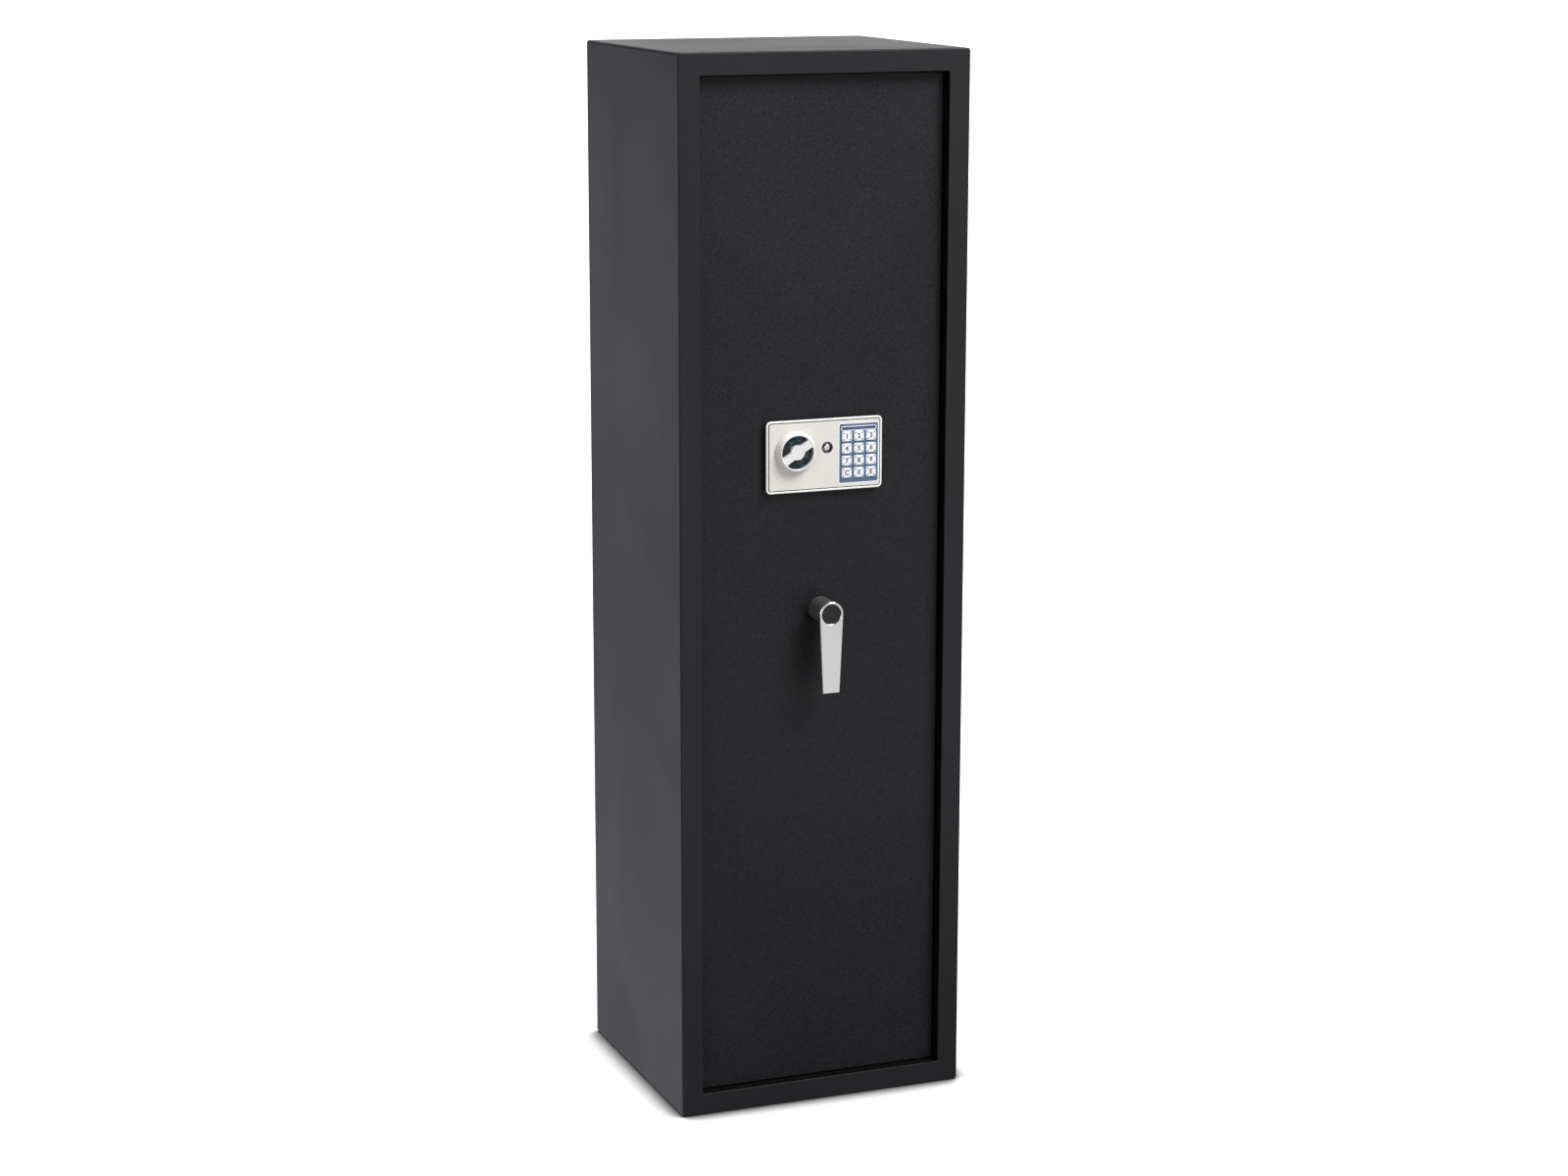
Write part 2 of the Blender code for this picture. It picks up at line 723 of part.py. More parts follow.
def build_bolt_carriage(bolts, door):
    """An angle bar that carries the bolts, moved to the left by the crank's plate."""
    web_rear = BAR_Y + BAR_SHEET
    comb_right = -0.026
    finger = FINGER_RIGHT - LATCH_LEFT
    notch = finger + 0.003
    notch_low = COMB_HIGH - 0.010
    first = LATCH_LEFT - 0.0015
    second = first + BOLT_TRAVEL
    outline = [
        (BAR_LEFT, BAR_LOW),
        (BAR_RIGHT, BAR_LOW),
        (BAR_RIGHT, 0.800),
        (comb_right, 0.800),
        (comb_right, COMB_HIGH),
        (second + notch, COMB_HIGH),
        (second + notch, notch_low),
        (second, notch_low),
        (second, COMB_HIGH),
        (first + notch, COMB_HIGH),
        (first + notch, notch_low),
        (first, notch_low),
        (first, COMB_HIGH),
        (BAR_RIGHT, COMB_HIGH),
        (BAR_RIGHT, BAR_HIGH),
        (BAR_LEFT, BAR_HIGH),
    ]
    slots = [
        level_slot(
            GUIDE_X + BOLT_TRAVEL / 2,
            height,
            BOLT_TRAVEL + 2 * GUIDE_NECK + 0.001,
            2 * GUIDE_NECK + 0.0006,
        )
        for height in GUIDE_HEIGHTS.values()
    ]
    bar = plate(
        "bolt_bar", [outline, *slots], BAR_Y, web_rear, finish="bare_steel", parent=bolts
    )
    flange = block(
        "bolt_bar_flange",
        (BAR_LEFT - 0.0001, BOLT_Y - BOLT_RADIUS, BAR_LOW + 0.0005),
        (BAR_LEFT + BAR_SHEET, web_rear - 0.0005, BAR_HIGH - 0.0005),
    )
    join(bar, flange)
    offset = CRANK * math.sin(CRANK_ANGLE)
    slot_low = offset - CRANK_PIN - 0.0006
    slot_high = CRANK + CRANK_PIN + 0.0006
    crank_slot = upright_slot(
        HANDLE_X + offset,
        HANDLE_Z + (slot_low + slot_high) / 2,
        slot_high - slot_low,
        2 * (CRANK_PIN + 0.0006),
    )
    plate(
        "drive_plate",
        [
            rectangle(BAR_LEFT + BAR_SHEET + 0.001, HANDLE_Z - 0.016, 0.024, HANDLE_Z + 0.024),
            crank_slot,
        ],
        BAR_Y - GAP - BAR_SHEET,
        BAR_Y - GAP,
        finish="bare_steel",
        parent=bolts,
    )
    for name, height in BOLT_HEIGHTS.items():
        length = BAR_LEFT - 0.0004 - BOLT_TIP_X
        bolt = [
            (0.0, length),
            (BOLT_RADIUS, length),
            (BOLT_RADIUS, 0.001),
            (BOLT_RADIUS - 0.001, 0.0),
            (0.0, 0.0),
        ]
        turned(
            "locking_bolt_" + name, (BOLT_TIP_X, BOLT_Y, height), bolt, "X", "bare_steel", bolts
        )
    for name, height in GUIDE_HEIGHTS.items():
        guide_post("bar_guide_" + name, GUIDE_X, height, GUIDE_NECK, door)


def guide_post(name, x, z, neck, door):
    """A shouldered post on the door plate whose neck runs in a slot of a sliding sheet."""
    head_rear = BAR_Y + BAR_SHEET + 0.0025
    profile = [
        (0.0, head_rear),
        (neck + 0.003, head_rear),
        (neck + 0.003, BAR_Y + BAR_SHEET + GAP),
        (neck, BAR_Y + BAR_SHEET + GAP),
        (neck, BAR_Y - GAP),
        (neck + 0.003, BAR_Y - GAP),
        (neck + 0.003, DOOR_REAR + GAP),
        (0.0, DOOR_REAR + GAP),
    ]
    turned(name, (x, 0.0, z), profile, "Y", "bare_steel", door, steps=20)


# ---------------------------------------------------------------- electronic lock
def build_panel(door):
    """The lock's housing with a raised rim, the face plate inside it, and the keypad."""
    rim_front = PANEL_FACE + 0.0004
    base_front = PANEL_FACE + 0.0016
    rear = DOOR_FACE - GAP
    outer = centred(PANEL_X, PANEL_Z, PANEL_WIDTH, PANEL_HEIGHT, PANEL_RADIUS, 4)
    keys_window = rectangle(
        KEYPAD_X - 1.5 * KEY_PITCH_X, KEYPAD_Z - 0.0340, KEYPAD_X + 1.5 * KEY_PITCH_X, 0.9112
    )
    passages = [
        keys_window,
        circle(KNOB_X, KNOB_Z, 0.006),
        circle(CYLINDER_X, CYLINDER_Z, CYLINDER_RADIUS + 0.0005),
    ]
    housing = plate(
        "panel_housing", [outer, *passages], base_front, rear, finish="panel_silver", parent=door
    )
    inset = 2 * RIM_WIDTH
    rim_inner = centred(
        PANEL_X, PANEL_Z, PANEL_WIDTH - inset, PANEL_HEIGHT - inset, PANEL_RADIUS - RIM_WIDTH, 4
    )
    rim_outer = centred(PANEL_X, PANEL_Z, PANEL_WIDTH - 0.0002, PANEL_HEIGHT - 0.0002, 0.006, 4)
    join(housing, plate("panel_rim", [rim_outer, rim_inner], rim_front, base_front + 0.001))
    wall = 0.0025
    cavity = block(
        "panel_cavity",
        (PANEL_X + 0.019, base_front + 0.003, PANEL_Z - PANEL_HEIGHT / 2 + wall),
        (PANEL_X + PANEL_WIDTH / 2 - wall, rear + 0.01, PANEL_Z + PANEL_HEIGHT / 2 - wall),
    )
    cut(housing, cavity)
    inset += 2 * RIM_GROOVE
    face = centred(
        PANEL_X,
        PANEL_Z,
        PANEL_WIDTH - inset,
        PANEL_HEIGHT - inset,
        PANEL_RADIUS - RIM_WIDTH - RIM_GROOVE,
        4,
    )
    plate(
        "panel_face",
        [
            face,
            centred(KEYPAD_X, KEYPAD_Z, KEYPAD_WIDTH + 0.001, KEYPAD_HEIGHT + 0.001, 0.003),
            circle(KNOB_X, KNOB_Z, 0.006),
            circle(CYLINDER_X, CYLINDER_Z, CYLINDER_RADIUS + 0.0012, 24),
        ],
        PANEL_FACE,
        base_front - GAP,
        finish="panel_silver",
        parent=door,
    )


def key_places():
    """Each key's name and centre."""
    for row, names in enumerate(KEY_NAMES):
        for column, name in enumerate(names):
            x = KEYPAD_X + (column - 1) * KEY_PITCH_X
            yield name, x, KEY_TOP_Z - row * KEY_PITCH_Z


def build_keypad(door):
    plate_front = PANEL_FACE - 0.0002
    plate_rear = PANEL_FACE + 0.0013
    slack = 0.0006
    outline = centred(KEYPAD_X, KEYPAD_Z, KEYPAD_WIDTH, KEYPAD_HEIGHT, 0.0025)
    key_holes = [
        centred(x, z, KEY_SIZE[0] + slack, KEY_SIZE[1] + slack, 0.0026, 2)
        for name, x, z in key_places()
    ]
    led_hole = level_slot(KEYPAD_X, LED_Z, LED_SIZE[0] + slack, LED_SIZE[1] + slack)
    plate(
        "keypad_plate",
        [outline, *key_holes, led_hole],
        plate_front,
        plate_rear,
        finish="keypad_blue",
        parent=door,
    )
    plate(
        "led_window",
        [level_slot(KEYPAD_X, LED_Z, *LED_SIZE)],
        plate_front + GAP,
        plate_rear,
        finish="lens_blue",
        parent=door,
    )
    board = rectangle(KEYPAD_X - 0.0265, KEYPAD_Z - 0.0355, KEYPAD_X + 0.0265, KEYPAD_Z + 0.0355)
    plate(
        "keypad_board",
        [board],
        FRONT + 0.0123,
        FRONT + 0.0139,
        finish="circuit_green",
        parent=door,
    )
    key_front, key_rear = FRONT + 0.0044, FRONT + 0.0109
    for name, x, z in key_places():
        centre = pivot(f"key_{name}_pivot", (x, key_front, z), door)
        block(
            "key_" + name,
            (x - KEY_SIZE[0] / 2, key_front, z - KEY_SIZE[1] / 2),
            (x + KEY_SIZE[0] / 2, key_rear, z + KEY_SIZE[1] / 2),
            "key_white",
            centre,
            rounding=(((0, 1, 0), 0.0024, 2),),
        )


def build_knob(knob):
    """The knob's ring and grip bar are one moulding over a dark disc, on a cranked shaft."""
    rear = PANEL_FACE - GAP
    disc_front = FRONT + 0.0025
    rim = [
        (0.0, rear),
        (KNOB_RADIUS, rear),
        (KNOB_RADIUS, rear - 0.006),
        (KNOB_RADIUS - 0.0012, KNOB_FRONT + 0.0015),
        (KNOB_RADIUS - 0.0035, KNOB_FRONT),
        (0.0, KNOB_FRONT),
    ]
    centre = (KNOB_X, 0.0, KNOB_Z)
    body = turned("knob", centre, rim, "Y", "panel_silver", knob, steps=48)
    pocket = rod(
        "knob_pocket", (KNOB_X, disc_front - GAP, KNOB_Z), 0.02, 0.0253, "Y", segments=32
    )
    window = rod(
        "knob_window", (KNOB_X, KNOB_FRONT - 0.01, KNOB_Z), 0.018, KNOB_WINDOW, "Y", segments=40
    )
    boss = rod("knob_boss", (KNOB_X, KNOB_FRONT - 0.02, KNOB_Z), 0.05, KNOB_BOSS, "Y")
    bar = block(
        "knob_bar",
        (KNOB_X - 0.03, KNOB_FRONT - 0.02, KNOB_Z - KNOB_BAR / 2),
        (KNOB_X + 0.03, KNOB_FRONT + 0.03, KNOB_Z + KNOB_BAR / 2),
    )
    bar.rotation_euler = (0.0, -KNOB_TURN, 0.0)
    cut(window, bar, boss)
    cut(body, window, pocket)
    rod(
        "knob_inlay",
        (KNOB_X, disc_front, KNOB_Z),
        0.0025,
        0.0250,
        "Y",
        "inlay_dark",
        knob,
        segments=32,
    )
    shaft = rod(
        "knob_shaft",
        (KNOB_X, disc_front + 0.0028, KNOB_Z),
        0.0242,
        0.004,
        "Y",
        "bare_steel",
        knob,
    )
    disc = rod("knob_cam_disc", (KNOB_X, FRONT + 0.026, KNOB_Z), 0.0035, 0.0145, "Y")
    offset = LATCH_CRANK * math.sin(CRANK_ANGLE)
    pin = rod(
        "knob_crank_pin",
        (KNOB_X - offset, FRONT + 0.0275, KNOB_Z + offset),
        0.0140,
        LATCH_PIN,
        "Y",
    )
    join(shaft, disc, pin)


def build_latch(latch, door):
    """The sheet that drops into the bolt bar's comb. Its right edge takes the plunger."""
    offset = LATCH_CRANK * math.sin(CRANK_ANGLE)
    pin_slot = level_slot(
        KNOB_X - (offset + LATCH_CRANK) / 2,
        KNOB_Z + offset,
        LATCH_CRANK - offset + 2 * LATCH_PIN + 0.0012,
        2 * LATCH_PIN + 0.0012,
    )
    neck = 0.0025
    guide_z = KNOB_Z - 0.020
    guide_slot = upright_slot(
        KNOB_X - 0.010,
        guide_z + LATCH_TRAVEL / 2,
        LATCH_TRAVEL + 2 * neck + 0.001,
        2 * neck + 0.0006,
    )
    half = PLUNGER_RADIUS + 0.0007
    depth = LATCH_RIGHT - 0.0075
    low, high = PLUNGER_Z, PLUNGER_Z + LATCH_TRAVEL
    outline = [
        (LATCH_LEFT, LATCH_LOW),
        (FINGER_RIGHT, LATCH_LOW),
        (FINGER_RIGHT, LATCH_LOW + 0.010),
        (LATCH_RIGHT, LATCH_LOW + 0.010),
        (LATCH_RIGHT, low - half),
        (depth, low - half),
        (depth, low + half),
        (LATCH_RIGHT, low + half),
        (LATCH_RIGHT, high - half),
        (depth, high - half),
        (depth, high + half),
        (LATCH_RIGHT, high + half),
        (LATCH_RIGHT, LATCH_HIGH),
        (LATCH_LEFT, LATCH_HIGH),
    ]
    plate(
        "latch_slide",
        [outline, pin_slot, guide_slot],
        BAR_Y,
        BAR_Y + BAR_SHEET,
        finish="bare_steel",
        parent=latch,
    )
    guide_post("latch_guide", KNOB_X - 0.010, guide_z, neck, door)


def build_key_cylinder(door, plug):
    front = PANEL_FACE - 0.0008
    rear = FRONT + 0.040
    housing = [
        (CYLINDER_RADIUS, rear),
        (CYLINDER_RADIUS, front + 0.0004),
        (CYLINDER_RADIUS - 0.0004, front),
        (PLUG_RADIUS + 0.0002, front),
        (PLUG_RADIUS + 0.0002, rear),
    ]
    centre = (CYLINDER_X, 0.0, CYLINDER_Z)
    turned("lock_cylinder", centre, housing, "Y", "lever_metal", door)
    groove_outer, groove_inner, groove_end = 0.0054, 0.0038, front + 0.006
    core = [
        (0.0, rear + 0.002),
        (PLUG_RADIUS, rear + 0.002),
        (PLUG_RADIUS, front + 0.0006),
        (groove_outer, front + 0.0006),
        (groove_outer, groove_end),
        (groove_inner, groove_end),
        (groove_inner, front + 0.0012),
        (0.0, front + 0.0012),
    ]
    barrel = turned("lock_plug", centre, core, "Y", "lever_metal", plug)
    keyway = block(
        "plug_keyway",
        (CYLINDER_X - 0.0009, front - 0.002, CYLINDER_Z - 0.0060),
        (CYLINDER_X + 0.0009, groove_end, CYLINDER_Z - 0.0025),
    )
    cut(barrel, keyway)
    arm = arc(CYLINDER_X, CYLINDER_Z, 0.0055, 90, 270, 8)
    tip = arc(CYLINDER_X + 0.0095, CYLINDER_Z, 0.0035, -90, 90, 6)
    cam_front = rear + 0.002 + GAP
    plate(
        "override_cam",
        [arm + tip],
        cam_front,
        cam_front + 0.002,
        finish="bare_steel",
        parent=plug,
    )


def build_solenoid(door, plunger):
    """A coil in a case, and the sprung plunger that holds the latch up or down."""
    case = block("solenoid", SOLENOID_LOW, SOLENOID_HIGH, "bare_steel", door)
    axis_y = (SOLENOID_LOW.y + SOLENOID_HIGH.y) / 2
    bore = rod(
        "solenoid_bore", (SOLENOID_LOW.x - 0.01, axis_y, PLUNGER_Z), 0.034, 0.0039, "X"
    )
    cut(case, bore)
    collar = 0.0055
    length = 0.033
    collar_near, collar_far = 0.0060, 0.0075
    profile = [
        (0.0, length),
        (PLUNGER_RADIUS, length),
        (PLUNGER_RADIUS, collar_far),
        (collar, collar_far),
        (collar, collar_near),
        (PLUNGER_RADIUS, collar_near),
        (PLUNGER_RADIUS, 0.0008),
        (PLUNGER_RADIUS - 0.0008, 0.0),
        (0.0, 0.0),
    ]
    turned(
        "solenoid_plunger",
        (PLUNGER_TIP, axis_y, PLUNGER_Z),
        profile,
        "X",
        "bare_steel",
        plunger,
        steps=24,
    )
    wire = 0.0005
    turns, points_per_turn = 4, 10
    start = PLUNGER_TIP + collar_far + wire + GAP
    end = SOLENOID_LOW.x - wire - GAP
    coil_radius = PLUNGER_RADIUS + wire + 0.0007
    curve = bpy.data.curves.new("plunger_spring", "CURVE")
    curve.dimensions = "3D"
    curve.bevel_depth = wire
    curve.bevel_resolution = 1
    curve.use_fill_caps = True
    spline = curve.splines.new("POLY")
    count = turns * points_per_turn
    spline.points.add(count)
    for index, point in enumerate(spline.points):
        angle = 2 * math.pi * index / points_per_turn
        x = start + (end - start) * index / count
        y = axis_y + coil_radius * math.cos(angle)
        point.co = (x, y, PLUNGER_Z + coil_radius * math.sin(angle), 1.0)
    spring = bpy.data.objects.new("plunger_spring", curve)
    PARTS.objects.link(spring)
    curve.materials.append(bpy.data.materials["bare_steel"])
    attach(spring, plunger)


def build_battery(door, lid, reset):
    """Four cells in an open box behind the inner cover, with a lid that slides up."""
    box_front, box_rear = FRONT + 0.044, BOX_REAR - 0.0003
    half_x = CELL_LENGTH / 2 + 0.003
    half_z = 4 * CELL_RADIUS + 0.0015
    case = block(
        "battery_box",
        (BATTERY_X - half_x, box_front, BATTERY_Z - half_z),
        (BATTERY_X + half_x, box_rear, BATTERY_Z + half_z),
        "black_plastic",
        door,
    )
    wall = 0.0015
    hollow = block(
        "battery_hollow",
        (BATTERY_X - half_x + wall, box_front + wall, BATTERY_Z - half_z + wall),
        (BATTERY_X + half_x - wall, box_rear + 0.01, BATTERY_Z + half_z - wall),
    )
    cut(case, hollow)
    cell_y = box_front + wall + CELL_RADIUS + GAP
    cells = []
    for index in range(4):
        cells.append(
            rod(
                "battery_pack" if index == 0 else f"battery_cell_{index}",
                (BATTERY_X - CELL_LENGTH / 2, cell_y, BATTERY_Z + (index - 1.5) * 1.98 * CELL_RADIUS),
                CELL_LENGTH,
                CELL_RADIUS,
                "X",
                "battery_wrap" if index == 0 else None,
                door if index == 0 else None,
                segments=20,
            )
        )
    join(*cells)
    lid_plate = centred(BATTERY_X, BATTERY_Z, *BATTERY_LID, 0.003, 2)
    plate(
        "battery_lid",
        [lid_plate],
        COVER_REAR + GAP,
        COVER_REAR + GAP + 0.002,
        finish="black_plastic",
        parent=lid,
    )
    button = [
        (0.0, COVER_REAR + 0.003),
        (RESET_RADIUS - 0.0005, COVER_REAR + 0.003),
        (RESET_RADIUS, COVER_REAR + 0.0025),
        (RESET_RADIUS, COVER_REAR - 0.008),
        (0.0, COVER_REAR - 0.008),
    ]
    turned(
        "reset_button", (RESET_X, 0.0, RESET_Z), button, "Y", "reset_red", reset, steps=20
    )


# ---------------------------------------------------------------- assembly
def build_cabinet():
    build_body_shell()
    build_back_panel()
    build_door_stop()
    build_hinge_pins()
    build_gun_rack()


def build_door():
    door = pivot("door_pivot", (HINGE_X, HINGE_Y, 0))
    handle = pivot("handle_pivot", (HANDLE_X, DOOR_FACE, HANDLE_Z), door)
    bolts = pivot("bolt_pivot", (BAR_LEFT, BOLT_Y, HANDLE_Z), door)
    knob = pivot("knob_pivot", (KNOB_X, PANEL_FACE, KNOB_Z), door)
    latch = pivot("latch_pivot", (KNOB_X, BAR_Y, KNOB_Z), door)
    plug = pivot("plug_pivot", (CYLINDER_X, PANEL_FACE, CYLINDER_Z), door)
    plunger = pivot("plunger_pivot", (PLUNGER_TIP, FRONT + 0.039, PLUNGER_Z), door)
    lid = pivot("battery_lid_pivot", (BATTERY_X, COVER_REAR, BATTERY_Z), door)
    reset = pivot("reset_pivot", (RESET_X, COVER_REAR, RESET_Z), door)
    build_door_plate(door)
    build_hinge_blocks(door)
    build_door_box(door)
    build_handle(handle, door)
    build_bolt_carriage(bolts, door)
    build_panel(door)
    build_keypad(door)
    build_knob(knob)
    build_latch(latch, door)
    build_key_cylinder(door, plug)
    build_solenoid(door, plunger)
    build_battery(door, lid, reset)


build_cabinet()
build_door()
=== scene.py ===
"""Looks for the gun safe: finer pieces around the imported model, materials, lights, camera.
Metres, +Z up, the door faces -Y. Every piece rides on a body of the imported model."""

import math

import bmesh
import bpy
from mathutils import Matrix, Vector


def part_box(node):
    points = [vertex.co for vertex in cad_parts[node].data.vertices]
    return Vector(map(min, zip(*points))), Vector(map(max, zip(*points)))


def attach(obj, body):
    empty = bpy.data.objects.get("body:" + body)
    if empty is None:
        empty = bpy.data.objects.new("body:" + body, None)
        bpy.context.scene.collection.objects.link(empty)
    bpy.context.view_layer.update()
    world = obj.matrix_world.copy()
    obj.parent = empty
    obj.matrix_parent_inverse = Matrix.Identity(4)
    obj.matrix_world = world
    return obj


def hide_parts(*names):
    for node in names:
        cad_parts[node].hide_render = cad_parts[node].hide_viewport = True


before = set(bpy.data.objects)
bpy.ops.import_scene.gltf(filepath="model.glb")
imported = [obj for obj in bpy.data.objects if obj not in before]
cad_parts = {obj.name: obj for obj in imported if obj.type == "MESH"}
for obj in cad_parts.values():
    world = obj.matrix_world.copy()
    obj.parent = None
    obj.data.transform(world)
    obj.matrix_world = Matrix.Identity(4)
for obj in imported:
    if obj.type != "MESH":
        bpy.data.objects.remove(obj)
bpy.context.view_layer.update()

# ------------------------------ sizes shared with the CAD
SHELL_LOW, SHELL_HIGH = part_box("body_shell")
DOOR_LOW, DOOR_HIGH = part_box("door_plate")
PANEL_LOW, PANEL_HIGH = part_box("panel_housing")
FACE_LOW, FACE_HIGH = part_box("panel_face")
PAD_LOW, PAD_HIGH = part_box("keypad_plate")
LENS_LOW, LENS_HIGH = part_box("led_window")
KNOB_LOW, KNOB_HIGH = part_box("knob")
INLAY_LOW, INLAY_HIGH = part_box("knob_inlay")
CYLINDER_LOW, CYLINDER_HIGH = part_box("lock_cylinder")
PLUG_LOW, PLUG_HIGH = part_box("lock_plug")
STEM_LOW, STEM_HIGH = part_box("handle_stem")
LEVER_LOW, LEVER_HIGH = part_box("handle_lever")
CAP_LOW, CAP_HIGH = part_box("handle_cap")
REST_LOW, REST_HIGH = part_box("barrel_rest")
MAT_LOW, MAT_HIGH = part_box("floor_mat")
COVER_LOW, COVER_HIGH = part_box("door_cover")
LID_LOW, LID_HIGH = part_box("battery_lid")
CELLS_LOW, CELLS_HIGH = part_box("battery_pack")
PIN_LOW, PIN_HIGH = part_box("hinge_pin_lower")
FRONT = SHELL_LOW.y
SHEET = 0.002
FLANGE = 0.029
JAMB_DEPTH = 0.048
CORNER_RADIUS = 0.0042
BEND_RADIUS = 0.0024
# Radii of the holes through the door; the panel's housing has the last two.
SPINDLE_HOLE = 0.010
SHAFT_HOLE = 0.006
CYLINDER_HOLE = 0.0091
KEYS = ("1", "2", "3", "4", "5", "6", "7", "8", "9", "c", "0", "e")


def middle(low, high):
    return (low + high) / 2


def centre_and_half(low, high):
    return middle(low, high), (high - low) / 2


HANDLE = middle(STEM_LOW, STEM_HIGH)
KNOB = middle(KNOB_LOW, KNOB_HIGH)
CYLINDER = middle(CYLINDER_LOW, CYLINDER_HIGH)
PANEL = middle(PANEL_LOW, PANEL_HIGH)
PAD = middle(PAD_LOW, PAD_HIGH)


# ------------------------------ materials
class Nodes:
    """A material's node tree, with short calls for the nodes that the materials share."""

    def __init__(self, name):
        self.material = bpy.data.materials.new(name)
        self.material.use_nodes = True
        self.tree = self.material.node_tree
        self.shader = self.tree.nodes["Principled BSDF"]
        self.place = self.add("ShaderNodeTexCoord").outputs["Object"]

    def add(self, kind, **inputs):
        node = self.tree.nodes.new(kind)
        self.feed(node, inputs)
        return node

    def feed(self, node, inputs):
        """Links or sets the node's inputs, each found by its name or number."""
        for key, value in inputs.items():
            if isinstance(value, bpy.types.NodeSocket):
                self.tree.links.new(value, node.inputs[key])
            else:
                node.inputs[key].default_value = value

    def stretched(self, scale):
        """The object's coordinates, scaled by a different amount along each axis."""
        return self.add("ShaderNodeMapping", Vector=self.place, Scale=scale).outputs[0]

    def noise(self, scale, detail=3.0, place=None, roughness=0.55, distortion=0.0):
        node = self.add("ShaderNodeTexNoise", Vector=place or self.place, Scale=scale, Detail=detail)
        self.feed(node, {"Roughness": roughness, "Distortion": distortion})
        return node.outputs["Fac"]

    def cells(self, scale):
        """Distance to the nearest cell's centre, and three random numbers for that cell."""
        node = self.add("ShaderNodeTexVoronoi", Vector=self.place, Scale=scale)
        chances = self.add("ShaderNodeSeparateColor", Color=node.outputs["Color"]).outputs
        return node.outputs["Distance"], chances

    def remap(self, value, low, high, to_low=0.0, to_high=1.0):
        node = self.add("ShaderNodeMapRange", Value=value)
        self.feed(node, {"From Min": low, "From Max": high, "To Min": to_low, "To Max": to_high})
        return node.outputs[0]

    def math(self, operation, first, second):
        node = self.add("ShaderNodeMath")
        node.operation = operation
        self.feed(node, {0: first, 1: second})
        return node.outputs[0]

    def total(self, *parts):
        """The sum of some values, each given with the numbers for its remap."""
        values = [self.remap(*part) for part in parts]
        result = values[0]
        for value in values[1:]:
            result = self.math("ADD", result, value)
        return result

    def mix(self, factor, first, second):
        """A blend of two colours. Each is a socket or three numbers."""
        node = self.add("ShaderNodeMix")
        node.data_type = "RGBA"
        colours = [(*value, 1.0) if isinstance(value, tuple) else value for value in (first, second)]
        self.feed(node, {0: factor, 6: colours[0], 7: colours[1]})
        return node.outputs[2]

    def bump(self, height, strength, distance):
        node = self.add("ShaderNodeBump", Height=height, Strength=strength, Distance=distance)
        self.tree.links.new(node.outputs[0], self.shader.inputs["Normal"])

    def set(self, **inputs):
        names = {
            "colour": "Base Color",
            "rough": "Roughness",
            "metal": "Metallic",
            "specular": "Specular IOR Level",
            "coat": "Coat Weight",
            "coat_rough": "Coat Roughness",
            "sheen": "Sheen Weight",
            "sheen_rough": "Sheen Roughness",
            "anisotropic": "Anisotropic",
        }
        self.feed(self.shader, {names[key]: value for key, value in inputs.items()})
        return self.material


def powder_coat(name, dark, light, rough, specular, grain, relief, bead_glint):
    """Powder coat: an orange-peel relief, slow drifts of tone, and scattered raised beadlike grains
    whose paler colour is a painted glint.
    """
    nodes = Nodes(name)
    fine = nodes.noise(grain, 4.0, roughness=0.62)
    coarse = nodes.noise(grain / 3.1, 2.0)
    drift = nodes.noise(4.0, 3.0, distortion=0.6)
    distance, chances = nodes.cells(grain / 1.6)
    bead = nodes.remap(distance, 0.42, 0.12)
    bead = nodes.math("MULTIPLY", bead, nodes.remap(chances[0], 0.2, 1.0))
    tone = nodes.total(
        (drift, 0.3, 0.7, 0.0, 0.2),
        (coarse, 0.35, 0.65, 0.0, 0.2),
        (fine, 0.38, 0.62, 0.0, 0.6),
    )
    base = nodes.mix(tone, dark, light)
    # The paler colour over each bead is a painted glint on its facets.
    base = nodes.mix(nodes.math("MULTIPLY", bead, bead_glint), base, (0.11, 0.11, 0.12))
    roughness = nodes.total(
        (drift, 0.3, 0.7, rough - 0.04, rough + 0.03),
        (fine, 0.3, 0.7, -0.05, 0.05),
    )
    height = nodes.math("ADD", fine, nodes.math("MULTIPLY", coarse, 0.8))
    height = nodes.math("ADD", height, nodes.math("MULTIPLY", bead, 0.8))
    nodes.bump(height, relief, 0.0006)
    return nodes.set(colour=base, rough=roughness, specular=specular)


def plastic(name, dark, light, rough, grain=900.0, relief=0.08, coat=0.0, specular=0.5):
    """Moulded plastic: a faint spark-eroded grain and a slow drift of tone."""
    nodes = Nodes(name)
    fine = nodes.noise(grain, 3.0)
    drift = nodes.noise(22.0, 3.0)
    base = nodes.mix(nodes.remap(drift, 0.3, 0.7), dark, light)
    roughness = nodes.total(
        (drift, 0.3, 0.7, rough - 0.03, rough + 0.03),
        (fine, 0.3, 0.7, -0.03, 0.03),
    )
    nodes.bump(fine, relief, 0.0002)
    return nodes.set(colour=base, rough=roughness, coat=coat, coat_rough=0.15, specular=specular)


def flake_paint(name, dark, light, rough, metal):
    """Silver lacquer over plastic: metallic flakes under a satin clear coat."""
    nodes = Nodes(name)
    _, chances = nodes.cells(2600.0)
    drift = nodes.noise(30.0, 3.0)
    tone = nodes.total((chances[0], 0.0, 1.0, 0.0, 0.5), (drift, 0.3, 0.7, 0.0, 0.5))
    base = nodes.mix(tone, dark, light)
    roughness = nodes.remap(chances[1], 0.0, 1.0, rough - 0.05, rough + 0.05)
    nodes.bump(nodes.noise(1500.0, 2.0), 0.06, 0.0002)
    return nodes.set(colour=base, rough=roughness, metal=metal, coat=0.25, coat_rough=0.25)


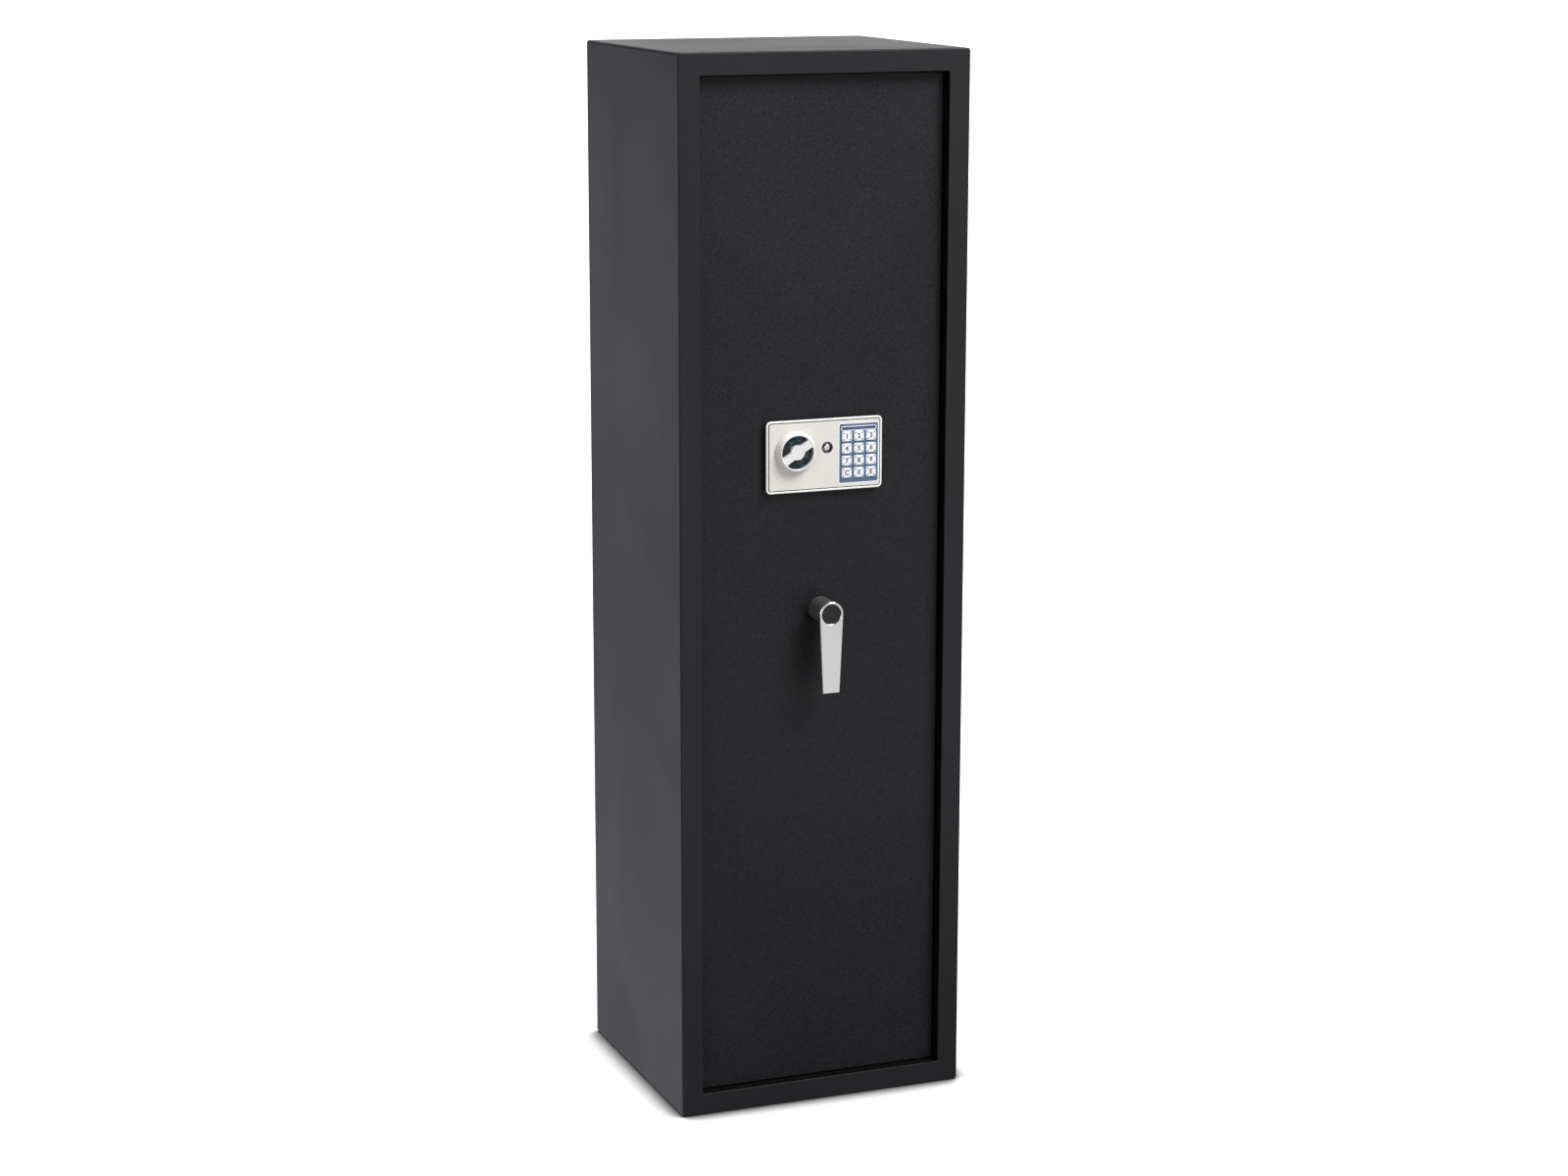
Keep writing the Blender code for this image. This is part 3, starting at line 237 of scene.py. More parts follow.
def brushed(name, dark, light, rough, grain, anisotropic, relief):
    """Brushed metal. grain scales the noise along each axis, least along the lines."""
    nodes = Nodes(name)
    lines = nodes.noise(1.0, 4.0, place=nodes.stretched(grain), roughness=0.7)
    smudge = nodes.noise(45.0, 4.0, distortion=0.8)
    tone = nodes.total((lines, 0.3, 0.7, 0.0, 0.6), (smudge, 0.3, 0.7, 0.0, 0.4))
    base = nodes.mix(tone, dark, light)
    roughness = nodes.total(
        (lines, 0.3, 0.7, rough - 0.05, rough + 0.07),
        (smudge, 0.35, 0.65, -0.03, 0.05),
    )
    nodes.bump(lines, relief, 0.0001)
    return nodes.set(colour=base, rough=roughness, metal=1.0, anisotropic=anisotropic)


def zinc(name, dark, light):
    """Bright zinc plate: faint crystal patches and a few scuffs."""
    nodes = Nodes(name)
    _, chances = nodes.cells(160.0)
    scuffs = nodes.noise(1.0, 5.0, place=nodes.stretched((90.0, 90.0, 900.0)), roughness=0.7)
    tone = nodes.total((chances[0], 0.0, 1.0, 0.0, 0.5), (scuffs, 0.35, 0.7, 0.0, 0.5))
    base = nodes.mix(tone, dark, light)
    nodes.bump(scuffs, 0.12, 0.0001)
    return nodes.set(colour=base, rough=nodes.remap(scuffs, 0.3, 0.7, 0.24, 0.42), metal=1.0)


def foam(name, dark, light):
    """Cut foam: open cells and a soft, dusty sheen."""
    nodes = Nodes(name)
    cells, _ = nodes.cells(900.0)
    drift = nodes.noise(14.0, 4.0)
    # The cells' centres, the pits, are darker: painted shade in them.
    tone = nodes.total((cells, 0.1, 0.6, 0.0, 0.6), (drift, 0.3, 0.7, 0.0, 0.4))
    base = nodes.mix(tone, dark, light)
    nodes.bump(nodes.math("ADD", cells, nodes.noise(260.0, 4.0)), 0.7, 0.0008)
    return nodes.set(colour=base, rough=0.95, sheen=0.25, sheen_rough=0.6, specular=0.2)


def carpet(name, dark, light):
    """Short-pile carpet: tufts on a fine grid, brushed a little each way."""
    nodes = Nodes(name)
    tufts, _ = nodes.cells(520.0)
    brushed_way = nodes.noise(9.0, 4.0, distortion=1.2)
    # Darker between the tufts, where the pile is lower, and lighter on them: painted shade in the pile.
    tone = nodes.total((tufts, 0.0, 0.5, 0.5, 0.0), (brushed_way, 0.3, 0.7, 0.0, 0.5))
    base = nodes.mix(tone, dark, light)
    height = nodes.math("SUBTRACT", nodes.noise(1400.0, 3.0), tufts)
    nodes.bump(height, 0.8, 0.0012)
    return nodes.set(colour=base, rough=0.98, sheen=0.4, sheen_rough=0.5, specular=0.1)


def speckled_foil(name, dark, light):
    """Dark foil, crazed into small bright and dark facets."""
    nodes = Nodes(name)
    warped = nodes.noise(160.0, 3.0, distortion=1.5)
    _, chances = nodes.cells(420.0)
    glint = nodes.remap(chances[0], 0.2, 1.0)
    tone = nodes.math("MULTIPLY", nodes.remap(warped, 0.42, 0.66), glint)
    nodes.bump(nodes.math("ADD", warped, chances[0]), 0.35, 0.0004)
    roughness = nodes.remap(chances[1], 0.0, 1.0, 0.2, 0.45)
    return nodes.set(colour=nodes.mix(tone, dark, light), rough=roughness, metal=0.6)


BODY_PAINT = powder_coat(
    "body_powder_coat", (0.0100, 0.0098, 0.0115), (0.0140, 0.0137, 0.0160),
    rough=0.46, specular=0.24, grain=900.0, relief=0.10, bead_glint=0.02,
)
DOOR_PAINT = powder_coat(
    "door_powder_coat", (0.0036, 0.0037, 0.0045), (0.0156, 0.0159, 0.0186),
    rough=0.46, specular=0.22, grain=560.0, relief=0.50, bead_glint=0.10,
)
# Darker and duller than the body's coat, for the jamb and the frame's inside: painted shade in the
# recess.
JAMB_SHADE_COAT = powder_coat(
    "jamb_painted_shade", (0.0020, 0.0020, 0.0022), (0.0035, 0.0035, 0.0038),
    rough=0.75, specular=0.06, grain=700.0, relief=0.2, bead_glint=0.0,
)
PANEL_PAINT = flake_paint(
    "champagne_lacquer", (0.61, 0.595, 0.55), (0.72, 0.70, 0.655), rough=0.36, metal=0.1
)
SATIN_CHROME = brushed(
    "satin_chrome", (0.70, 0.70, 0.69), (0.84, 0.84, 0.825),
    rough=0.34, grain=(1600.0, 1600.0, 26.0), anisotropic=0.35, relief=0.10,
)
BRIGHT_CHROME = brushed(
    "polished_chrome", (0.80, 0.80, 0.80), (0.92, 0.92, 0.92),
    rough=0.12, grain=(300.0, 300.0, 300.0), anisotropic=0.0, relief=0.02,
)
# Darker chrome for the plug's edge and notches: painted shade round the keyway.
PLUG_SHADE_CHROME = brushed(
    "plug_painted_shade", (0.04, 0.04, 0.045), (0.12, 0.12, 0.12),
    rough=0.22, grain=(700.0, 700.0, 700.0), anisotropic=0.0, relief=0.05,
)
BRASS = brushed(
    "turned_brass", (0.46, 0.30, 0.11), (0.66, 0.47, 0.20),
    rough=0.3, grain=(60.0, 60.0, 2600.0), anisotropic=0.3, relief=0.1,
)
ZINC = zinc("zinc_plate", (0.42, 0.42, 0.43), (0.62, 0.61, 0.58))
INLAY = speckled_foil("knob_foil", (0.008, 0.016, 0.022), (0.10, 0.16, 0.18))
FOAM = foam("cut_foam", (0.028, 0.028, 0.030), (0.070, 0.070, 0.074))
CARPET = carpet("short_carpet", (0.020, 0.021, 0.023), (0.075, 0.076, 0.080))

# Plastics: the two tones that each drifts between, its roughness, grain, relief and gloss coat.
# Brighter white for the housing's bead and the knob's outer ring. On the knob, one moulding, it is a
# painted highlight on the rounded ring; on the bead it is partly the bead's own white, partly a painted
# highlight.
RIM_WHITE_AND_HIGHLIGHT = plastic("rim_white_and_highlight", (0.75, 0.74, 0.71), (0.81, 0.80, 0.77), 0.24, 1400.0, 0.03, 0.4)
KNOB_PAINT = plastic("knob_face", (0.66, 0.65, 0.63), (0.72, 0.71, 0.69), 0.32, 1400.0, 0.04, 0.2)
KEY_WHITE = plastic("key_white", (0.70, 0.72, 0.75), (0.78, 0.80, 0.82), 0.30, 1200.0, 0.05, 0.2)
KEY_INK = plastic("key_ink", (0.06, 0.07, 0.09), (0.10, 0.11, 0.13), 0.5)
# Dark grey inside the keys' dimples: painted shade in them.
KEY_DIMPLE_SHADE = plastic("key_dimple", (0.02, 0.025, 0.03), (0.05, 0.055, 0.06), 0.6)
PRINT_WHITE = plastic("print_white", (0.80, 0.81, 0.80), (0.88, 0.88, 0.87), 0.35)
OVERLAY_BLUE = plastic(
    "overlay_blue", (0.052, 0.104, 0.174), (0.070, 0.134, 0.222), 0.4, 1600.0, 0.12
)
LENS_BLUE = plastic(
    "lens_blue", (0.010, 0.030, 0.075), (0.030, 0.070, 0.15), 0.08, relief=0.01, coat=1.0
)
BLACK_PLASTIC = plastic(
    "black_plastic", (0.010, 0.010, 0.011), (0.020, 0.020, 0.021), 0.42, relief=0.2
)
CAP_PLASTIC = plastic(
    "cap_black", (0.013, 0.013, 0.013), (0.020, 0.020, 0.020), 0.6, relief=0.15, specular=0.2
)
STEM_BLACK = plastic("stem_black", (0.060, 0.060, 0.060), (0.090, 0.090, 0.090), 0.34, relief=0.12)
# Dark for the floor under the lock face, seen in the seam round it: painted shade.
SEAM_SHADE = plastic("seam_painted_shade", (0.02, 0.019, 0.018), (0.035, 0.033, 0.031), 0.6)
BOARD = plastic(
    "circuit_board", (0.008, 0.08, 0.035), (0.015, 0.13, 0.06), 0.35, relief=0.3, coat=0.4
)
CELL_WRAP = plastic("cell_wrap", (0.012, 0.012, 0.014), (0.025, 0.025, 0.028), 0.28, coat=0.3)
CELL_BAND = plastic("cell_band", (0.62, 0.30, 0.05), (0.74, 0.38, 0.08), 0.28, coat=0.3)
RED_PLASTIC = plastic("red_plastic", (0.42, 0.012, 0.012), (0.58, 0.02, 0.02), 0.35, coat=0.2)


# ------------------------------ mesh tools
def link(name, data, *materials):
    """A new object in the scene, from a mesh, curve, light or camera."""
    obj = bpy.data.objects.new(name, data)
    bpy.context.scene.collection.objects.link(obj)
    for material in materials:
        data.materials.append(material)
    return obj


def evaluated_mesh(obj):
    """A new mesh of the object's outline, text or modifiers' result."""
    graph = bpy.context.evaluated_depsgraph_get()
    return bpy.data.meshes.new_from_object(obj.evaluated_get(graph))


def soften(mesh, angle=32.0):
    """Smooth shading, with edges sharper than the angle kept sharp."""
    mesh.shade_smooth()
    mesh.set_sharp_from_angle(angle=math.radians(angle))


def level_normals(obj):
    """Big flat faces keep their own normals, and the small faces around them blend in."""
    modifier = obj.modifiers.new("level", "WEIGHTED_NORMAL")
    modifier.keep_sharp = True
    modifier.weight = 80


def round_edges(obj, width, segments=2, angle=35.0, material=-1):
    modifier = obj.modifiers.new("round", "BEVEL")
    modifier.width = width
    modifier.segments = segments
    modifier.limit_method = "ANGLE"
    modifier.angle_limit = math.radians(angle)
    modifier.material = material
    modifier.miter_outer = "MITER_ARC"


def bake(obj):
    """Puts the modifiers' result in the object's mesh."""
    mesh = evaluated_mesh(obj)
    obj.modifiers.clear()
    obj.data = mesh


def carve(obj, *cutters):
    """Cuts the cutters out of obj, whose own modifiers go, and removes the cutters."""
    obj.modifiers.clear()
    for cutter in cutters:
        modifier = obj.modifiers.new("cut", "BOOLEAN")
        modifier.solver = "EXACT"
        modifier.object = cutter
        if cutter.data.materials:
            modifier.material_mode = "TRANSFER"
    bake(obj)
    for cutter in cutters:
        bpy.data.objects.remove(cutter)


def loft(name, rings, *materials, loop=False, caps=(False, False)):
    """A mesh through rings of points. loop joins the last ring to the first."""
    bm = bmesh.new()
    made = [[bm.verts.new(point) for point in ring] for ring in rings]
    pairs = list(zip(made, made[1:])) + ([(made[-1], made[0])] if loop else [])
    for near, far in pairs:
        for i in range(len(near)):
            j = (i + 1) % len(near)
            bm.faces.new((near[i], near[j], far[j], far[i]))
    if caps[0]:
        bm.faces.new(made[0][::-1])
    if caps[1]:
        bm.faces.new(made[-1])
    bmesh.ops.remove_doubles(bm, verts=bm.verts, dist=0.0000005)
    bmesh.ops.recalc_face_normals(bm, faces=bm.faces)
    mesh = bpy.data.meshes.new(name)
    bm.to_mesh(mesh)
    bm.free()
    soften(mesh)
    return link(name, mesh, *materials)


def filleted(points, radii, steps=4, closed=False):
    """A path with its corners rounded. points are pairs; radii has one radius for each."""
    result = []
    for i, (point, radius) in enumerate(zip(points, radii)):
        ends = not closed and i in (0, len(points) - 1)
        if radius == 0 or ends:
            result.append(point)
            continue
        here = Vector(point)
        before = Vector(points[i - 1]) - here
        after = Vector(points[(i + 1) % len(points)]) - here
        half = before.angle(after) / 2
        reach = min(radius / math.tan(half), before.length * 0.49, after.length * 0.49)
        start = here + before.normalized() * reach
        end = here + after.normalized() * reach
        for step in range(steps + 1):
            t = step / steps
            curve = start * (1 - t) ** 2 + here * (2 * t * (1 - t)) + end * t**2
            result.append((curve.x, curve.y))
    return result


def lathe(name, centre, profile, *materials, steps=48, axis="Y", closed=False):
    """Turns a profile of (radius, position along the axis) round the axis through centre."""
    rings = []
    for radius, along in profile:
        ring = []
        for i in range(steps):
            angle = 2 * math.pi * i / steps
            across, up = radius * math.cos(angle), radius * math.sin(angle)
            if axis == "Y":
                ring.append((centre.x + across, along, centre.z + up))
            elif axis == "X":
                ring.append((along, centre.y + across, centre.z + up))
            else:
                ring.append((centre.x + across, centre.y + up, along))
        rings.append(ring)
    obj = loft(name, rings, *materials, loop=closed)
    level_normals(obj)
    return obj


def rounded_ring(x, z, half_x, half_z, radius, y, steps):
    """Points of a rounded rectangle in the plane at y."""
    points = []
    corners = ((1, 1, 0), (-1, 1, 90), (-1, -1, 180), (1, -1, 270))
    for side_x, side_z, first in corners:
        for step in range(steps + 1):
            angle = math.radians(first + 90 * step / steps)
            across = side_x * (half_x - radius) + radius * math.cos(angle)
            up = side_z * (half_z - radius) + radius * math.sin(angle)
            points.append((x + across, y, z + up))
    return points


def framed(name, centre, half_x, half_z, radius, profile, *materials, steps=6, least=0.0005, **ends):
    """A rectangular ring or block with the profile of (inset, y) all the way round."""
    rings = []
    for inset, y in profile:
        corner = max(radius - inset, least)
        ring = rounded_ring(centre.x, centre.z, half_x - inset, half_z - inset, corner, y, steps)
        rings.append(ring)
    obj = loft(name, rings, *materials, **ends)
    level_normals(obj)
    return obj


def flat(name, loops, low, high, *materials, normal="Y"):
    """A flat piece cut to the first loop, with the others as holes."""
    curve = bpy.data.curves.new(name, "CURVE")
    curve.dimensions = "2D"
    curve.fill_mode = "BOTH"
    curve.extrude = (high - low) / 2
    for loop in loops:
        spline = curve.splines.new("POLY")
        spline.points.add(len(loop) - 1)
        spline.use_cyclic_u = True
        for point, (across, up) in zip(spline.points, loop):
            point.co = (across, up, 0.0, 1.0)
    outline = link(name + "_outline", curve)
    mesh = evaluated_mesh(outline)
    bpy.data.objects.remove(outline)
    bm = bmesh.new()
    bm.from_mesh(mesh)
    bmesh.ops.remove_doubles(bm, verts=bm.verts, dist=0.0000005)
    if normal == "Y":
        turn = Matrix.Translation((0, (low + high) / 2, 0)) @ Matrix.Rotation(math.pi / 2, 4, "X")
    else:
        turn = Matrix.Translation((0, 0, (low + high) / 2))
    bmesh.ops.transform(bm, matrix=turn, verts=bm.verts)
    bmesh.ops.dissolve_limit(bm, angle_limit=0.01, verts=bm.verts, edges=bm.edges)
    bmesh.ops.recalc_face_normals(bm, faces=bm.faces)
    bm.to_mesh(mesh)
    bm.free()
    mesh.materials.clear()
    soften(mesh)
    return link(name, mesh, *materials)


def circle(x, z, radius, steps=40):
    angles = [2 * math.pi * i / steps for i in range(steps)]
    return [(x + radius * math.cos(angle), z + radius * math.sin(angle)) for angle in angles]


def rectangle(x, z, half_x, half_z, radius, steps=6):
    return [(px, pz) for px, _, pz in rounded_ring(x, z, half_x, half_z, radius, 0.0, steps)]


def drum(name, centre, radius, low, high, *materials, axis="Y", steps=40):
    """A plain cylinder, for cutting."""
    profile = [(0.0, low), (radius, low), (radius, high), (0.0, high)]
    obj = lathe(name, centre, profile, *materials, steps=steps, axis=axis)
    obj.modifiers.clear()
    return obj


def brick(name, low, high):
    """A plain box, for cutting."""
    centre = (Vector(low) + Vector(high)) / 2
    half = (Vector(high) - Vector(low)) / 2
    profile = [(0.0, low[1]), (0.0, high[1])]
    obj = framed(name, centre, half.x, half.z, 0.0, profile, steps=1, least=0.0, caps=(True, True))
    obj.modifiers.clear()
    return obj


def stands_for(obj, body, slot, *nodes):
    """obj rides on the body and replaces the CAD nodes, which it hides. slot is not used."""
    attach(obj, body)
    if nodes:
        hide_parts(*nodes)


# ------------------------------ cabinet
def shell_holes():
    """Cutters for the bolts' holes in the jamb, the hinge pins' and the floor anchors'."""
    reach, bolt_slack, pin_radius, anchor_radius, anchor_x = 0.01, 0.0008, 0.0046, 0.006, 0.1
    cutters = []
    jamb = SHELL_LOW.x + FLANGE
    for name in ("upper", "middle", "lower"):
        low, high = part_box("locking_bolt_" + name)
        place = middle(low, high)
        radius = (high.z - low.z) / 2 + bolt_slack
        cutters.append(drum("strike_" + name, place, radius, jamb - reach, jamb + reach, axis="X"))
    pin = middle(PIN_LOW, PIN_HIGH)
    for level in (SHELL_LOW.z + FLANGE, SHELL_HIGH.z - FLANGE):
        cutters.append(drum("pin_hole", pin, pin_radius, level - reach, level + reach, axis="Z"))
    for x in (-anchor_x, anchor_x):
        place = Vector((x, 0.0, 0.0))
        cutters.append(drum("anchor_hole", place, anchor_radius, -reach, reach, axis="Z"))
    return cutters


def make_shell():
    """The folded sheet: sides, top and bottom, front frame and jamb, with rounded bends, and
    a lip in front of the back panel that closes the gap round it."""
    centre, half = centre_and_half(SHELL_LOW, SHELL_HIGH)
    back = SHELL_HIGH.y
    lip, lip_front, lip_back = SHEET + 0.003, back - 0.0031, back - 0.0023
    path = [
        (0.0, back),
        (0.0, FRONT),
        (FLANGE, FRONT),
        (FLANGE, FRONT + JAMB_DEPTH),
        (FLANGE - SHEET, FRONT + JAMB_DEPTH),
        (FLANGE - SHEET, FRONT + SHEET),
        (SHEET, FRONT + SHEET),
        (SHEET, lip_front),
        (lip, lip_front),
        (lip, lip_back),
        (SHEET, lip_back),
        (SHEET, back),
    ]
    radii = [0.0003, BEND_RADIUS, 0.0008, *[0.0004] * 4, *[0.0001] * 4, 0.0003]
    profile = filleted(path, radii, steps=6, closed=True)
    shell = framed(
        "cabinet_shell", centre, half.x, half.z, CORNER_RADIUS, profile, BODY_PAINT, JAMB_SHADE_COAT,
        steps=8, least=0.0012, loop=True,
    )
    # The jamb and the inside of the frame take a darker, duller coat: painted shade in the recess round
    # the door.
    for face in shell.data.polygons:
        across = half.x - abs(face.center.x - centre.x)
        up = half.z - abs(face.center.z - centre.z)
        if min(across, up) > FLANGE - SHEET - 0.001 and face.center.y > FRONT + 0.0014:
            face.material_index = 1
    carve(shell, *shell_holes())
    soften(shell.data)
    level_normals(shell)
    stands_for(shell, "cabinet", "body_paint", "body_shell")


def make_floor_pad():
    """A carpet-covered pad with soft edges on the cabinet's floor."""
    centre, half = centre_and_half(MAT_LOW, MAT_HIGH)
    corner = 0.004
    levels = (
        (0.0006, MAT_LOW.z),
        (0.0, MAT_LOW.z + 0.002),
        (0.0012, MAT_HIGH.z - 0.0012),
        (corner, MAT_HIGH.z),
    )
    rings = []
    for inset, z in levels:
        ring = rounded_ring(centre.x, centre.y, half.x - inset, half.y - inset, corner, z, 4)
        rings.append([(x, y, level) for x, level, y in ring])
    pad = loft("floor_pad", rings, CARPET, caps=(True, True))
    level_normals(pad)
    stands_for(pad, "cabinet", "foam_grey", "floor_mat")


def make_barrel_foam():
    """The notched foam block that holds the barrels."""
    pitch, radius, depth, steps = 0.068, 0.016, 0.032, 16
    outline = [(REST_HIGH.x, REST_LOW.y), (REST_HIGH.x, REST_HIGH.y)]
    outline += [(REST_LOW.x, REST_HIGH.y), (REST_LOW.x, REST_LOW.y)]
    corners = [0.003, 0.0, 0.0, 0.003]
    for index in range(-2, 3):
        x = index * pitch
        outline.append((x - radius, REST_LOW.y))
        corners.append(0.004)
        for step in range(steps + 1):
            angle = math.pi - math.pi * step / steps
            y = REST_LOW.y + depth + radius * math.sin(angle)
            outline.append((x + radius * math.cos(angle), y))
            corners.append(0.0)
        outline.append((x + radius, REST_LOW.y))
        corners.append(0.004)
    shape = filleted(outline, corners, closed=True)
    block = flat("barrel_foam", [shape], REST_LOW.z, REST_HIGH.z, FOAM, normal="Z")
    round_edges(block, 0.0022, 4, 50.0)
    level_normals(block)
    stands_for(block, "cabinet", "foam_grey", "barrel_rest")


# ------------------------------ door
def make_door_skin():
    """The door's plate, with its holes for the lever, the knob, the key and the wires."""
    centre, half = centre_and_half(DOOR_LOW, DOOR_HIGH)
    loops = [
        rectangle(centre.x, centre.z, half.x, half.z, 0.0012),
        circle(HANDLE.x, HANDLE.z, SPINDLE_HOLE),
        circle(KNOB.x, KNOB.z, SHAFT_HOLE),
        circle(CYLINDER.x, CYLINDER.z, CYLINDER_HOLE),
        rectangle(PAD.x, PAD.z, 0.010, 0.005, 0.0049),
    ]
    skin = flat("door_skin", loops, DOOR_LOW.y, DOOR_HIGH.y, DOOR_PAINT)
    round_edges(skin, 0.0011, 4, 50.0)
    level_normals(skin)
    stands_for(skin, "door", "door_paint", "door_plate")


def make_lock_housing():
    """A base with a beaded rim, a seam, and the floor that the face lies on. The base's side wall is
    black as a painted shadow round the panel, the rim a brighter white that is partly a painted
    highlight, and the floor dark as painted shade where it shows in the seam.
    """
    _, half = centre_and_half(PANEL_LOW, PANEL_HIGH)
    front, back = PANEL_LOW.y, PANEL_HIGH.y
    floor_y = FACE_HIGH.y + 0.0003
    bead_depth, bead_width = 0.0024, 0.0026
    path = [
        (0.0, back),
        (0.0, front + bead_depth),
        (0.0, front),
        (bead_width, front),
        (bead_width + 0.0002, floor_y),
        (0.0060, floor_y),
    ]
    profile = filleted(path, [0.0, 0.0, 0.0013, 0.0008, 0.0, 0.0], steps=6)
    housing = framed(
        "lock_housing", PANEL, half.x, half.z, 0.006, profile, RIM_WHITE_AND_HIGHLIGHT, SEAM_SHADE, BLACK_PLASTIC,
        steps=8, least=0.001, caps=(True, True),
    )
    for face in housing.data.polygons:
        # The floor under the face, seen in the seam, is painted dark as shade.
        if abs(face.center.y - floor_y) < 0.0001:
            face.material_index = 1
        # The side wall below the bead is black plastic as a painted shadow round the panel.
        elif face.center.y > front + bead_depth:
            face.material_index = 2
    wall, reach = 0.0025, 0.02
    pocket_low = (PANEL.x + 0.019, floor_y + 0.003, PANEL_LOW.z + wall)
    pocket_high = (PANEL_HIGH.x - wall, back + reach, PANEL_HIGH.z - wall)
    keys_low = (PAD.x - 0.0256, floor_y - reach, PAD.z - 0.0340)
    keys_high = (PAD.x + 0.0256, back + reach, LENS_LOW.z - 0.0008)
    carve(
        housing,
        brick("cut_keys", keys_low, keys_high),
        brick("cut_pocket", pocket_low, pocket_high),
        drum("cut_knob", KNOB, SHAFT_HOLE, floor_y - reach, back + reach),
        drum("cut_cylinder", CYLINDER, CYLINDER_HOLE, floor_y - reach, back + reach),
    )
    soften(housing.data)
    level_normals(housing)
    stands_for(housing, "door", "panel_silver", "panel_housing")


def make_lock_face():
    """The silver plate inside the rim, open where the keypad, knob and key stand in it."""
    centre, half = centre_and_half(FACE_LOW, FACE_HIGH)
    pad_half = (PAD_HIGH - PAD_LOW) / 2
    slack, collar_hole = 0.0005, 0.0075
    loops = [
        rectangle(centre.x, centre.z, half.x, half.z, 0.0024),
        rectangle(PAD.x, PAD.z, pad_half.x + slack, pad_half.z + slack, 0.0028),
        circle(KNOB.x, KNOB.z, SHAFT_HOLE),
        circle(CYLINDER.x, CYLINDER.z, collar_hole),
    ]
    face = flat("lock_face", loops, FACE_LOW.y, FACE_HIGH.y, PANEL_PAINT)
    round_edges(face, 0.0004, 3, 50.0)
    level_normals(face)
    stands_for(face, "door", "panel_silver", "panel_face")


def make_printed_ring(name, centre, half_x, half_z, radius, width, y):
    """A thin printed outline, a tenth of a millimetre proud of y."""
    proud, root = 0.0001, 0.0002
    profile = [(0.0, y + root), (0.0, y), (proud, y - proud)]
    profile += [(width - proud, y - proud), (width, y), (width, y + root)]
    ring = framed(name, centre, half_x, half_z, radius, profile, PRINT_WHITE, steps=8, loop=True)
    stands_for(ring, "door", "panel_silver")


def make_keypad():
    """The blue overlay with its key holes, white outlines and tinted lens."""
    half = (PAD_HIGH - PAD_LOW) / 2
    key_slack, lens_slack, least = 0.0003, 0.0002, 0.00001
    loops = [rectangle(PAD.x, PAD.z, half.x, half.z, 0.0025)]
    for name in KEYS:
        place, key_half = centre_and_half(*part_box("key_" + name))
        hole_x, hole_z = key_half.x + key_slack, key_half.z + key_slack
        loops.append(rectangle(place.x, place.z, hole_x, hole_z, 0.0026))
    lens, lens_half = centre_and_half(LENS_LOW, LENS_HIGH)
    hole_x, hole_z = lens_half.x + lens_slack, lens_half.z + lens_slack
    loops.append(rectangle(lens.x, lens.z, hole_x, hole_z, hole_z - least))
    overlay = flat("keypad_overlay", loops, PAD_LOW.y, PAD_HIGH.y, OVERLAY_BLUE)
    round_edges(overlay, 0.0002, 2, 50.0)
    level_normals(overlay)
    stands_for(overlay, "door", "keypad_blue", "keypad_plate")
    border = 0.0016
    make_printed_ring(
        "keypad_outline", PAD, half.x + border, half.z + border, 0.0034, 0.0012, FACE_LOW.y
    )
    outer_x, outer_z = lens_half.x + 0.0011, lens_half.z + 0.0011
    make_printed_ring("lens_outline", lens, outer_x, outer_z, outer_z - 2 * least, 0.0010, PAD_LOW.y)
    path = [(0.0, LENS_HIGH.y), (0.0, LENS_LOW.y), (0.0008, LENS_LOW.y)]
    profile = filleted(path, [0, 0.0005, 0])
    window = framed(
        "led_lens", lens, lens_half.x, lens_half.z, lens_half.z - least, profile, LENS_BLUE,
        steps=8, caps=(True, True),
    )
    stands_for(window, "door", "lens_blue", "led_window")


def legend_mesh(character, place):
    """The key's number or letter, a hair proud of the cap."""
    text = bpy.data.curves.new("legend", "FONT")
    text.body = character
    text.size = 0.0088
    text.extrude = 0.00012
    text.offset = 0.00022
    text.align_x = "CENTER"
    text.align_y = "CENTER"
    holder = link("legend", text)
    mesh = evaluated_mesh(holder)
    mesh.transform(Matrix.Translation(place) @ Matrix.Rotation(math.pi / 2, 4, "X"))
    bpy.data.objects.remove(holder)
    return mesh


def key_dimples(place, half, front):
    """Cutters for the four dimples, one near each corner of a key. They carry the dark dimple colour
    into the cuts as painted shade.
    """
    inset_x, inset_z, radius, depth = 0.0024, 0.0023, 0.00095, 0.0007
    cutters = []
    for side_x in (-1, 1):
        for side_z in (-1, 1):
            offset = Vector((side_x * (half.x - inset_x), 0, side_z * (half.z - inset_z)))
            span = (front - 0.002, front + depth)
            cutters.append(drum("dimple", place + offset, radius, *span, KEY_DIMPLE_SHADE, steps=16))
    return cutters


def make_key(name):
    """A white cap with softened edges, a dimple in each corner painted dark as shade, and a grey
    legend.
    """
    low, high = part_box("key_" + name)
    place, half = centre_and_half(low, high)
    front = low.y
    path = [(0.0, high.y), (0.0, front + 0.0002), (0.0022, front), (0.0040, front + 0.00005)]
    profile = filleted(path, [0.0, 0.0009, 0.001, 0.0], steps=5)
    cap = framed(
        "keycap_" + name, place, half.x, half.z, 0.0024, profile, KEY_WHITE, caps=(True, True)
    )
    carve(cap, *key_dimples(place, half, front))
    bm = bmesh.new()
    bm.from_mesh(cap.data)
    cap_faces = len(bm.faces)
    bm.from_mesh(legend_mesh(name.upper(), Vector((place.x, front - 0.00002, place.z))))
    bm.faces.ensure_lookup_table()
    for face in bm.faces[cap_faces:]:
        face.material_index = 2
    bm.to_mesh(cap.data)
    bm.free()
    cap.data.materials.append(KEY_INK)
    soften(cap.data, 40.0)
    level_normals(cap)
    stands_for(cap, "key_" + name, "key_white", "key_" + name)


